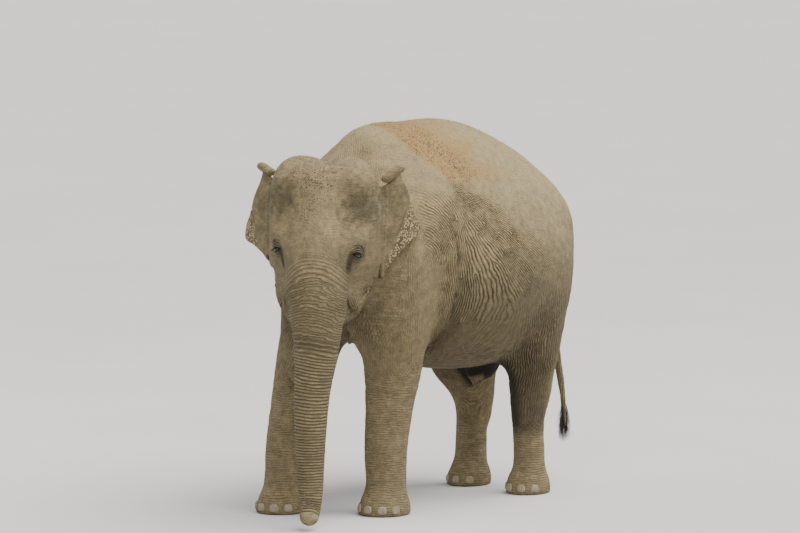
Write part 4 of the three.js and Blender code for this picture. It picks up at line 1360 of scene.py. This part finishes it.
# ---------------------------------------------------------------- shader building blocks
class Nodes:
    """Adds nodes to a tree, with each input set to a value or joined to another node."""

    def __init__(self, tree):
        self.tree = tree

    def add(self, kind, inputs=None, **settings):
        node = self.tree.nodes.new("ShaderNode" + kind)
        for name, value in settings.items():
            setattr(node, name, value)
        for name, value in (inputs or {}).items():
            if isinstance(value, bpy.types.NodeSocket):
                self.join(value, node.inputs[name])
            else:
                node.inputs[name].default_value = value
        return node

    def join(self, output, socket):
        self.tree.links.new(output, socket)

    def sum(self, operation, a, b=0.0, c=0.0):
        return self.add("Math", {0: a, 1: b, 2: c}, operation=operation).outputs[0]

    def times(self, a, b):
        return self.sum("MULTIPLY", a, b)

    def span(self, value, low, high, to_low=0.0, to_high=1.0):
        inputs = {"Value": value, 1: low, 2: high, 3: to_low, 4: to_high}
        return self.add("MapRange", inputs, interpolation_type="SMOOTHSTEP").outputs[0]

    def mix(self, share, a, b, blend="MIX"):
        inputs = {"Factor": share, 6: a, 7: b}
        return self.add("Mix", inputs, data_type="RGBA", blend_type=blend).outputs[2]

    def noise(self, vector, scale, detail=2.0, rough=0.5):
        inputs = {"Vector": vector, "Scale": scale, "Detail": detail, "Roughness": rough}
        return self.add("TexNoise", inputs).outputs["Fac"]

    def mark(self, name):
        return self.add("Attribute", attribute_name=name).outputs["Fac"]

    def stretched(self, vector, scale):
        return self.add("VectorMath", {0: vector, 1: scale}, operation="MULTIPLY").outputs[0]

    def cells(self, vector, scale, feature="F1"):
        inputs = {"Vector": vector, "Scale": scale}
        return self.add("TexVoronoi", inputs, feature=feature).outputs["Distance"]

    def use(self, group, **inputs):
        """Places a shader group with its own values."""
        return self.add("Group", inputs, node_tree=group).outputs


def new_group(name, inputs, outputs):
    """A shader group's nodes helper, its inputs and its output node; None is a vector input."""
    tree = bpy.data.node_groups.new(name, "ShaderNodeTree")
    for title, default in inputs.items():
        kind = "NodeSocketVector" if default is None else "NodeSocketFloat"
        socket = tree.interface.new_socket(name=title, in_out="INPUT", socket_type=kind)
        if default is not None:
            socket.default_value = default
    for title in outputs:
        tree.interface.new_socket(name=title, in_out="OUTPUT", socket_type="NodeSocketFloat")
    nodes = Nodes(tree)
    return nodes, tree.nodes.new("NodeGroupInput").outputs, tree.nodes.new("NodeGroupOutput").inputs


def new_material(name):
    """A material, its nodes helper, its shader's inputs, and the place on the object."""
    material = bpy.data.materials.new(name)
    material.use_nodes = True
    material.node_tree.nodes.clear()
    nodes = Nodes(material.node_tree)
    output = nodes.add("OutputMaterial")
    shader = nodes.add("BsdfPrincipled")
    nodes.join(shader.outputs[0], output.inputs["Surface"])
    return material, nodes, shader.inputs, nodes.add("TexCoord").outputs["Object"]


def finish_with(nodes, shader, colour, rough, height=None):
    """Gives the shader its colour, roughness and bumps."""
    nodes.join(colour, shader["Base Color"])
    nodes.join(rough, shader["Roughness"])
    if height is not None:
        bump = nodes.add("Bump", {"Height": height, "Distance": 1.0, "Strength": 1.0})
        nodes.join(bump.outputs[0], shader["Normal"])


def crease_group():
    """Grooves along the zero lines of a smooth value, soft valleys round them and ridges between: masks for
    painted shade in the grooves and valleys, and for pale dusting and painted highlight on the ridges.
    """
    inputs = {"Line": 0.0, "Strength": 1.0, "Width": 0.1}
    nodes, given, out = new_group("Creases", inputs, ["Groove", "ValleyShade", "RidgeDustAndHighlight", "Height"])
    size = nodes.sum("ABSOLUTE", given["Line"])
    near = nodes.sum("DIVIDE", size, given["Width"])
    groove = nodes.times(nodes.span(near, 0.0, 1.0, 1.0, 0.0), given["Strength"])
    nodes.join(groove, out["Groove"])
    nodes.join(nodes.times(nodes.span(size, 0.0, 0.75, 1.0, 0.0), given["Strength"]), out["ValleyShade"])
    nodes.join(nodes.span(size, 0.70, 0.98), out["RidgeDustAndHighlight"])
    rise = nodes.times(nodes.span(size, 0.0, 0.9), given["Strength"])
    nodes.join(nodes.sum("MULTIPLY_ADD", groove, -0.7, rise), out["Height"])
    return nodes.tree


def crackle_group():
    """A net of fine cracks, drawn out of shape by noise."""
    inputs = {"Vector": None, "Scale": 60.0, "Width": 0.12}
    nodes, given, out = new_group("Crackle", inputs, ["Cracks", "Height"])
    wander = nodes.add("TexNoise", {"Vector": given["Vector"], "Scale": 30.0, "Detail": 1.0})
    shift = nodes.add("VectorMath", {0: wander.outputs["Color"], "Scale": 0.012}, operation="SCALE")
    place = nodes.add("VectorMath", {0: given["Vector"], 1: shift.outputs[0]}, operation="ADD")
    cells = nodes.cells(place.outputs[0], given["Scale"], "DISTANCE_TO_EDGE")
    near = nodes.sum("DIVIDE", cells, given["Width"])
    nodes.join(nodes.span(near, 0.0, 1.0, 1.0, 0.0), out["Cracks"])
    nodes.join(nodes.span(cells, 0.0, 0.35), out["Height"])
    return nodes.tree


def patch_group():
    """Breaks a soft amount up into patches with grainy edges."""
    inputs = {"Vector": None, "Amount": 0.5, "Scale": 12.0, "Softness": 0.3}
    nodes, given, out = new_group("Patches", inputs, ["Mask"])
    broken = nodes.noise(given["Vector"], given["Scale"], 6.0, 0.62)
    level = nodes.sum("SUBTRACT", 1.0, given["Amount"])
    over = nodes.sum("SUBTRACT", broken, nodes.sum("MULTIPLY_ADD", level, 0.5, 0.25))
    share = nodes.sum("ADD", nodes.sum("DIVIDE", over, given["Softness"]), 0.5)
    any_at_all = nodes.span(given["Amount"], 0.0, 0.15)
    nodes.join(nodes.times(nodes.span(share, 0.0, 1.0), any_at_all), out["Mask"])
    return nodes.tree


def grain_group():
    """Fine pimples and broad tone of weathered skin or horn."""
    nodes, given, out = new_group("Grain", {"Vector": None, "Scale": 220.0}, ["Tone", "Height"])
    nodes.join(nodes.noise(given["Vector"], given["Scale"], 3.0, 0.6), out["Height"])
    broad = nodes.times(given["Scale"], 0.07)
    nodes.join(nodes.noise(given["Vector"], broad, 4.0, 0.6), out["Tone"])
    return nodes.tree


CREASES = crease_group()
CRACKLE = crackle_group()
PATCHES = patch_group()
GRAIN = grain_group()


# ---------------------------------------------------------------- finishes
HIDE = (0.182, 0.144, 0.076, 1)
# darker hide for the broad tone and the ears' margins, also used for painted shade
HIDE_DARK_AND_SHADE = (0.022, 0.017, 0.010, 1)
# darker olive, for painted shade in the temples and sockets, and over the ears
OLIVE = (0.090, 0.076, 0.042, 1)
# pale dust, also used for painted highlight on ridges and painted light on faces turned up
DUST_AND_HIGHLIGHT = (0.430, 0.335, 0.175, 1)
RED_EARTH = (0.310, 0.185, 0.066, 1)
CRUMB = (0.040, 0.018, 0.008, 1)
SPECKLE = (0.50, 0.36, 0.20, 1)
# near black, for painted shade in the creases, valleys and cracks and where the skin is marked darkest
CREASE_SHADE = (0.010, 0.0075, 0.0042, 1)


NAIL = (0.21, 0.165, 0.105, 1)
NAIL_PALE = (0.32, 0.27, 0.18, 1)
NAIL_DIRT = (0.15, 0.115, 0.075, 1)
PUPIL = (0.003, 0.002, 0.002, 1)
IRIS = (0.035, 0.016, 0.008, 1)
IRIS_SPOKES = (0.090, 0.045, 0.018, 1)
IRIS_EDGE = (0.030, 0.018, 0.012, 1)
EYE_WHITE = (0.05, 0.030, 0.022, 1)  # as dark as an elephant's is
HAIR = (0.012, 0.009, 0.007, 1)
HAIR_WORN = (0.045, 0.032, 0.022, 1)
FLOOR = (0.60, 0.59, 0.575, 1)
FLOOR_PALE = (0.62, 0.61, 0.595, 1)


def patched(nodes, colour, over, place, name, scale, softness, share):
    """A colour with patches of another where the skin is marked with a name."""
    mask = nodes.use(PATCHES, Vector=place, Amount=nodes.mark(name), Scale=scale, Softness=softness)
    return nodes.mix(nodes.times(mask["Mask"], share), colour, over)


def spotted(nodes, colour, over, place, name, scale, size, clumps, thick):
    """A colour with spots of another, in clumps, where the skin is marked with a name."""
    amount = nodes.mark(name)
    spots = nodes.span(nodes.cells(place, scale), *size, 1.0, 0.0)
    much, start, full = thick
    gate = nodes.sum("ADD", nodes.noise(place, *clumps), nodes.times(amount, much))
    gate = nodes.times(nodes.span(gate, start, start + 0.08), nodes.span(amount, 0.02, full))
    return nodes.mix(nodes.times(nodes.times(spots, gate), 0.9), colour, over)


def worn_and_shaded_colour(nodes, place, broad):
    """The hide's colour with its dusting and painted top light, olive tone and painted shade in the temples
    and sockets, painted shade where it is marked dark, red earth, crumbs and speckles.
    """
    colour = nodes.mix(nodes.span(broad["Tone"], 0.30, 0.70, 0.0, 0.14), HIDE, HIDE_DARK_AND_SHADE)
    # dust, and painted light on faces turned up, on the lid folds and along the ears' tops
    colour = patched(nodes, colour, DUST_AND_HIGHLIGHT, place, "dust_and_highlight", 24.0, 0.85, 0.95)
    # olive and darker: painted shade in the temples and sockets, and over the ears
    colour = patched(nodes, colour, OLIVE, place, "olive", 20.0, 0.6, 0.9)
    # painted shade where the skin is marked dark, near black where it is darkest
    colour = nodes.mix(nodes.times(nodes.mark("dark"), 0.85), colour, HIDE_DARK_AND_SHADE)
    colour = nodes.mix(nodes.span(nodes.mark("dark"), 0.80, 1.0), colour, CREASE_SHADE)
    colour = patched(nodes, colour, RED_EARTH, place, "earth", 13.0, 0.8, 0.92)
    crumbs = ("crumbs", 74.0, (0.24, 0.38), (30.0, 3.0), (0.45, 0.58, 0.12))
    colour = spotted(nodes, colour, CRUMB, place, *crumbs)
    colour = nodes.mix(nodes.times(nodes.mark("pink"), 0.36), colour, HIDE_DARK_AND_SHADE)
    speckles = ("pink", 80.0, (0.34, 0.50), (50.0, 2.0), (0.35, 0.62, 0.15))
    return spotted(nodes, colour, SPECKLE, place, *speckles)


def creased_colour(nodes, colour, creases, cracks):
    """Paints shade into a colour's creases, valleys and cracks, and lightens it on the ridges between them
    with pale dusting and painted highlight.
    """
    ridge_dust_and_highlight = nodes.times(creases["RidgeDustAndHighlight"], nodes.mark("ridge_dust_and_highlight"))
    for share, much, over in (
        # dust and painted highlight on the ridges
        (ridge_dust_and_highlight, 0.50, DUST_AND_HIGHLIGHT),
        # painted shade in the valleys, grooves and cracks
        (creases["ValleyShade"], 0.38, CREASE_SHADE),
        (creases["Groove"], 0.60, CREASE_SHADE),
        (cracks, 0.26, CREASE_SHADE),
    ):
        colour = nodes.mix(nodes.times(share, much), colour, over)
    return colour


def hide_material():
    material, nodes, shader, place = new_material("weathered_hide")
    grain = nodes.use(GRAIN, Vector=place, Scale=210.0)
    broad = nodes.use(GRAIN, Vector=place, Scale=110.0)
    crackle = nodes.use(CRACKLE, Vector=place, Scale=75.0, Width=0.16)
    marks = {"Line": nodes.mark("crease"), "Strength": nodes.mark("creasing")}
    creases = nodes.use(CREASES, Width=0.34, **marks)
    colour = worn_and_shaded_colour(nodes, place, broad)
    colour = creased_colour(nodes, colour, creases, crackle["Cracks"])
    tint = nodes.span(grain["Height"], 0.25, 0.75, 0.82, 1.18)
    tint = nodes.add("CombineColor", {0: tint, 1: tint, 2: tint}).outputs[0]
    colour = nodes.mix(1.0, colour, tint, "MULTIPLY")
    deep = nodes.times(creases["Height"], 0.0055)
    net = nodes.times(crackle["Height"], 0.0012)
    fine = nodes.times(grain["Height"], 0.0012)
    height = nodes.sum("ADD", nodes.sum("ADD", deep, net), fine)
    finish_with(nodes, shader, colour, nodes.span(broad["Tone"], 0.2, 0.8, 0.78, 0.92), height)
    shader["Specular IOR Level"].default_value = 0.32
    return material


def nail_material():
    material, nodes, shader, place = new_material("worn_toenail")
    grain = nodes.use(GRAIN, Vector=place, Scale=260.0)
    stripes = nodes.noise(nodes.stretched(place, (150.0, 150.0, 18.0)), 1.0, 3.0)
    colour = nodes.mix(nodes.span(stripes, 0.3, 0.7), NAIL, NAIL_PALE)
    colour = nodes.mix(nodes.span(grain["Tone"], 0.5, 0.8), colour, NAIL_DIRT)
    height = nodes.sum("MULTIPLY_ADD", stripes, 0.0012, nodes.times(grain["Height"], 0.0005))
    finish_with(nodes, shader, colour, nodes.span(grain["Tone"], 0.2, 0.8, 0.42, 0.68), height)
    return material


def eye_material():
    """Rings of colour round the eyeball's own Z axis: pupil, iris, its edge and the white."""
    material, nodes, shader, place = new_material("wet_eye")
    flat = nodes.stretched(place, (1.0, 1.0, 0.0))
    off = nodes.add("VectorMath", {0: flat}, operation="LENGTH").outputs["Value"]
    spokes = nodes.noise(nodes.stretched(place, (1.0, 1.0, 0.2)), 420.0, 3.0)
    iris = nodes.mix(nodes.span(spokes, 0.3, 0.7), IRIS, IRIS_SPOKES)
    colour = nodes.mix(nodes.span(off, 0.0034, 0.0040), PUPIL, iris)
    colour = nodes.mix(nodes.span(off, 0.0082, 0.0094), colour, IRIS_EDGE)
    colour = nodes.mix(nodes.span(off, 0.0125, 0.0175), colour, EYE_WHITE)
    finish_with(nodes, shader, colour, nodes.span(spokes, 0.2, 0.8, 0.05, 0.09))
    shader["Coat Weight"].default_value = 1.0
    shader["Coat Roughness"].default_value = 0.02
    return material


def hair_material():
    material, nodes, shader, place = new_material("coarse_black_hair")
    grain = nodes.use(GRAIN, Vector=place, Scale=900.0)
    colour = nodes.mix(nodes.span(grain["Height"], 0.3, 0.7), HAIR, HAIR_WORN)
    finish_with(nodes, shader, colour, nodes.span(grain["Tone"], 0.2, 0.8, 0.38, 0.55))
    return material


def floor_material():
    material, nodes, shader, place = new_material("pale_floor")
    colour = nodes.mix(nodes.span(nodes.noise(place, 0.7, 4.0), 0.3, 0.7), FLOOR, FLOOR_PALE)
    nodes.join(colour, shader["Base Color"])
    shader["Roughness"].default_value = 0.9
    return material


# ---------------------------------------------------------------- eyes and nails
CORNEA = 0.0105  # radius of the clear front, and how far it stands out
CORNEA_HIGH = 0.0016
NAIL_SIZE = {"fore": (0.029, 0.013, 0.026), "hind": (0.026, 0.012, 0.024)}


def ball_mesh(name, segments, rings, radius, shaped):
    """A ball whose points are each moved by a function."""
    bm = bmesh.new()
    bmesh.ops.create_uvsphere(bm, u_segments=segments, v_segments=rings, radius=radius)
    for v in bm.verts:
        v.co = shaped(*v.co)
    mesh = bpy.data.meshes.new(name)
    bm.to_mesh(mesh)
    bm.free()
    return mesh


def cornea(x, y, z):
    """A point of the eyeball, moved out where it lies on the clear front."""
    off = math.hypot(x, y)
    if z > 0 and off < CORNEA:
        z += CORNEA_HIGH * (1 - (off / CORNEA) ** 2)
    return x, y, z


def make_eye(side, name, material):
    flip = [side, 1, 1]
    out = EYE_OUT * flip
    axes = Matrix((HEAD_M @ np.cross(UP, out), HEAD_M @ UP, HEAD_M @ out)).transposed()
    place = Matrix.Translation(box_middle("eye_" + name)) @ axes.to_4x4()
    mesh = ball_mesh("eyeball_" + name, 64, 40, EYE_R, cornea)
    piece("eyeball_" + name, mesh, material, ["eye_" + name], place)


def make_nail(node, material):
    """A squarish domed nail on the front of a foot, where its solid is."""
    kind = node[:4]
    side = node.split("_")[1]
    wide, thick, high = NAIL_SIZE[kind]
    foot = LEGS[f"{kind}_{side}"][1].centre
    middle = np.array(box_middle(node) - PLACE)
    out = middle[:2] - foot[:2]

    def dome(*co):
        x, y, z = (math.copysign(abs(c) ** 0.72, c) for c in co)
        return x * wide * (1 - 0.10 * z), y * thick * (1 - 0.25 * z), z * high

    mesh = ball_mesh(node + "_horn", 36, 24, 1, dome)
    facing = Matrix.Rotation(math.atan2(out[0], -out[1]), 4, "Z")
    mesh.transform(Matrix.Translation(middle) @ facing)
    piece(node + "_horn", mesh, material, [node])


# ---------------------------------------------------------------- hair
HAIR_STEPS = 6
HAIR_SIDES = 3
TUFT_HAIRS = 420
LASHES = 70  # to each eye
HEAD_BRISTLES = (1500, 0.034)  # how many, and the length of the longest
BACK_BRISTLES = (900, 0.030)


def hair_faces():
    """The triangles of one closed hair, by its own point numbers."""
    faces = []
    for i in range(HAIR_STEPS):
        for k in range(HAIR_SIDES):
            a = i * HAIR_SIDES + k
            b = i * HAIR_SIDES + (k + 1) % HAIR_SIDES
            faces += [[a, b, b + HAIR_SIDES], [a, b + HAIR_SIDES, a + HAIR_SIDES]]
    tip = HAIR_STEPS * HAIR_SIDES
    return np.array([*faces, [0, 2, 1], [tip, tip + 1, tip + 2]])


def unit(v):
    return v / np.linalg.norm(v, axis=1)[:, None]


def make_hair(name, roots, ways, bends, lengths, thick, unwrapped, material):
    """Tapered hairs from their roots, each mapped to a small patch at its root's place."""
    t = np.linspace(0, 1, HAIR_STEPS + 1)
    ways = unit(ways)
    side = unit(np.cross(ways, [0.3, 0.9, 0.15]))
    other = np.cross(ways, side)
    angles = 2 * np.pi * np.arange(HAIR_SIDES) / HAIR_SIDES
    ring = np.cos(angles)[None, :, None] * side[:, None] + np.sin(angles)[None, :, None] * other[:, None]
    line = t[None, :, None] * ways[:, None] + (t**2)[None, :, None] * bends[:, None]
    line = roots[:, None] + lengths[:, None, None] * line
    wide = thick[:, None] * (1 - 0.85 * t)
    points = (line[:, :, None] + wide[:, :, None, None] * ring[:, None]).reshape(-1, 3)
    each = (HAIR_STEPS + 1) * HAIR_SIDES
    faces = (hair_faces()[None] + each * np.arange(len(roots))[:, None, None]).reshape(-1, 3)
    mesh = new_mesh(name, points, faces)
    patch = np.stack(np.broadcast_arrays(t[:, None], np.arange(HAIR_SIDES)[None] / HAIR_SIDES), axis=-1)
    uv = np.clip(unwrapped, 0.01, 0.99)[:, None] + 0.003 * (patch.reshape(1, -1, 2) - 0.5)
    layer = mesh.uv_layers.new(name="OFBake")
    layer.data.foreach_set("uv", uv.reshape(-1, 2)[faces.ravel()].astype(np.float32).ravel())
    piece(name, mesh, material)


def make_tail_tuft(material):
    """Two rows of wiry hair down the tail's end."""
    count = TUFT_HAIRS
    path = TAIL.path[np.argsort(TAIL.path[:, 2])]
    z = 0.355 + 0.14 * rng.uniform(0, 1, count) ** 1.3
    x, y, radius = (np.interp(z, path[:, 2], path[:, k]) for k in (0, 1, 3))
    row = rng.choice([-1, 1], count)
    around = np.radians(rng.normal(0, 28, count))
    out = np.column_stack([np.sin(around), row * np.cos(around), 0 * z])
    roots = np.column_stack([x, y, z]) + out * (radius - 0.003)[:, None]
    ways = out * rng.uniform(0.15, 0.45, count)[:, None] + [0, 0, -1.0]
    bends = -0.22 * out + rng.normal(0, 0.04, (count, 3))
    lengths = (z - 0.225) * rng.uniform(0.55, 0.95, count)
    unwrapped = np.column_stack([(np.arctan2(out[:, 1], out[:, 0]) / (2 * np.pi)) % 1, z])
    thick = rng.uniform(0.0006, 0.0011, count)
    make_hair("tail_tuft", roots, ways, bends, lengths, thick, unwrapped, material)


def make_lashes(side, name, material):
    """Long lashes that slope down from the upper lid."""
    count = LASHES
    flip = [side, 1, 1]
    centre, out, ahead = EYE_AT * flip, EYE_OUT * flip, EYE_AHEAD * flip
    along = rng.uniform(-0.9, 0.9, count) * LID_REACH
    high = 0.0085 * (1 - (along / LID_REACH) ** 2) + rng.uniform(0.0005, 0.0025, count)
    rise = high - LID_DROP + LID_SLOPE * along
    depth = np.sqrt(np.maximum((EYE_R + 0.0015) ** 2 - along**2 - rise**2, 1e-6))
    roots = centre + along[:, None] * ahead + rise[:, None] * UP + depth[:, None] * out
    ways = out - 0.5 * UP + (along / LID_REACH)[:, None] * 0.5 * ahead
    ways = ways + rng.normal(0, 0.10, (count, 3))
    bends = np.zeros((count, 3)) - 0.25 * UP
    lengths = rng.uniform(0.020, 0.036, count)
    unwrapped = np.column_stack([0.5 + along / LID_REACH * 0.4, 0.5 + high * 20])
    thick = rng.uniform(0.00035, 0.0005, count)
    turned = (from_head(roots), ways @ HEAD_M.T, bends @ HEAD_M.T)
    make_hair("lashes_" + name, *turned, lengths, thick, unwrapped, material)


def make_bristles(name, skin, chance, count, reach, material):
    """Scattered bristles that stand a little off the skin and point down and back."""
    p = points_of(skin) - PLACE
    n = normals_of(skin)
    chosen = rng.choice(len(p), count, replace=False, p=chance / chance.sum())
    roots = p[chosen] - 0.001 * n[chosen]
    ways = n[chosen] + [0, 0.35, -0.55] + rng.normal(0, 0.22, (count, 3))
    bends = rng.normal(0, 0.06, (count, 3)) + [0, 0.05, -0.25]
    lengths = rng.uniform(0.4, 1.0, count) * reach
    angle = np.arctan2(roots[:, 1], roots[:, 0]) / (2 * np.pi) + 0.5
    unwrapped = np.column_stack([angle, roots[:, 2] / 2.6])
    thick = rng.uniform(0.0003, 0.0005, count)
    make_hair(name, roots, ways, bends, lengths, thick, unwrapped, material)


def make_coat(skin, material):
    p = points_of(skin) - PLACE
    q = to_head(p)
    in_head = (q[:, 1] < 0.42) & (np.abs(q[:, 0]) < 0.33) & (p[:, 2] > 0.15)
    crown = in_head * (0.15 + ramp(q[:, 2], 0.30, 0.50)) * (eye_distance(p) > 0.06)
    chin = in_head * 2.0 * fall(np.abs(q[:, 2] + 0.42), 0.02, 0.10) * (q[:, 1] > -0.02)
    make_bristles("head_bristles", skin, crown + chin, *HEAD_BRISTLES, material)
    back = (1 - in_head) * ramp(p[:, 2], 1.6, 2.2) * (0.05 + hill(np.abs(p[:, 0]), 0, 0.30))
    make_bristles("back_bristles", skin, back, *BACK_BRISTLES, material)
    make_tail_tuft(material)


# ---------------------------------------------------------------- floor, lights, camera
FLOOR_REACH = 150.0
WARM = (1.0, 0.985, 0.96)
WHITE = (1.0, 1.0, 1.0)
SKY = (0.97, 0.98, 1.0, 1)
SKY_STRENGTH = 0.50
MIDDLE = Vector(((cad_box[0][0] + cad_box[1][0]) / 2, (cad_box[0][1] + cad_box[1][1]) / 2, 1.3))
AIM = Vector((-0.254, -0.021, 1.449)) + PLACE
CAMERA_AZIMUTH = math.radians(45)
CAMERA_HEIGHT = math.radians(6.5)
CAMERA_FAR = 42.0
CAMERA_LENS = 300.0


def make_floor():
    corners = [(-1, -1, 0), (1, -1, 0), (1, 1, 0), (-1, 1, 0)]
    mesh = new_mesh("floor", FLOOR_REACH * np.array(corners), np.array([[0, 1, 2, 3]]))
    mesh.materials.append(floor_material())
    new_object("floor", mesh)


def new_light(name, kind, power, colour, toward):
    """A light that shines from a direction."""
    data = bpy.data.lights.new(name, kind)
    data.energy = power
    data.color = colour
    ob = new_object(name, data)
    ob.rotation_euler = Vector(toward).to_track_quat("Z", "Y").to_euler()
    return ob


def area_light(name, at, size, power, colour):
    ob = new_light(name, "AREA", power, colour, Vector(at) - MIDDLE)
    ob.data.shape = "DISK"
    ob.data.size = size
    ob.location = at


def make_camera():
    data = bpy.data.cameras.new("camera")
    data.lens = CAMERA_LENS
    data.sensor_width = 36
    data.clip_end = 500
    camera = new_object("camera", data)
    level = math.cos(CAMERA_HEIGHT)
    back = Vector((
        math.sin(CAMERA_AZIMUTH) * level,
        -math.cos(CAMERA_AZIMUTH) * level,
        math.sin(CAMERA_HEIGHT),
    ))
    camera.location = AIM + CAMERA_FAR * back
    camera.rotation_euler = back.to_track_quat("Z", "Y").to_euler()
    bpy.context.scene.camera = camera


def make_world():
    world = bpy.data.worlds.new("studio")
    world.use_nodes = True
    back = world.node_tree.nodes["Background"]
    back.inputs["Color"].default_value = SKY
    back.inputs["Strength"].default_value = SKY_STRENGTH
    bpy.context.scene.world = world


SIDES = ((1, "left"), (-1, "right"))
hide = hide_material()
skin = make_skin(hide)
hair = hair_material()
make_coat(skin.data, hair)
for side, name in SIDES:
    make_lashes(side, name, hair)
eye_finish = eye_material()
for side, name in SIDES:
    make_eye(side, name, eye_finish)
nail_finish = nail_material()
for node in sorted(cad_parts):
    if "nail" in node:
        make_nail(node, nail_finish)
make_floor()
make_world()
overhead = new_light("overhead", "SUN", 5.1, WARM, (0.42, 0.22, 1.0))
overhead.data.angle = math.radians(60)  # soft, as from a wide patch of cloud
area_light("key", (6.5, -6.5, 6.5), 5.0, 270, WARM)
area_light("left", (-7.0, -4.0, 5.0), 5.0, 200, WHITE)
area_light("rear", (2.0, 8.5, 5.5), 6.0, 160, WHITE)
make_camera()
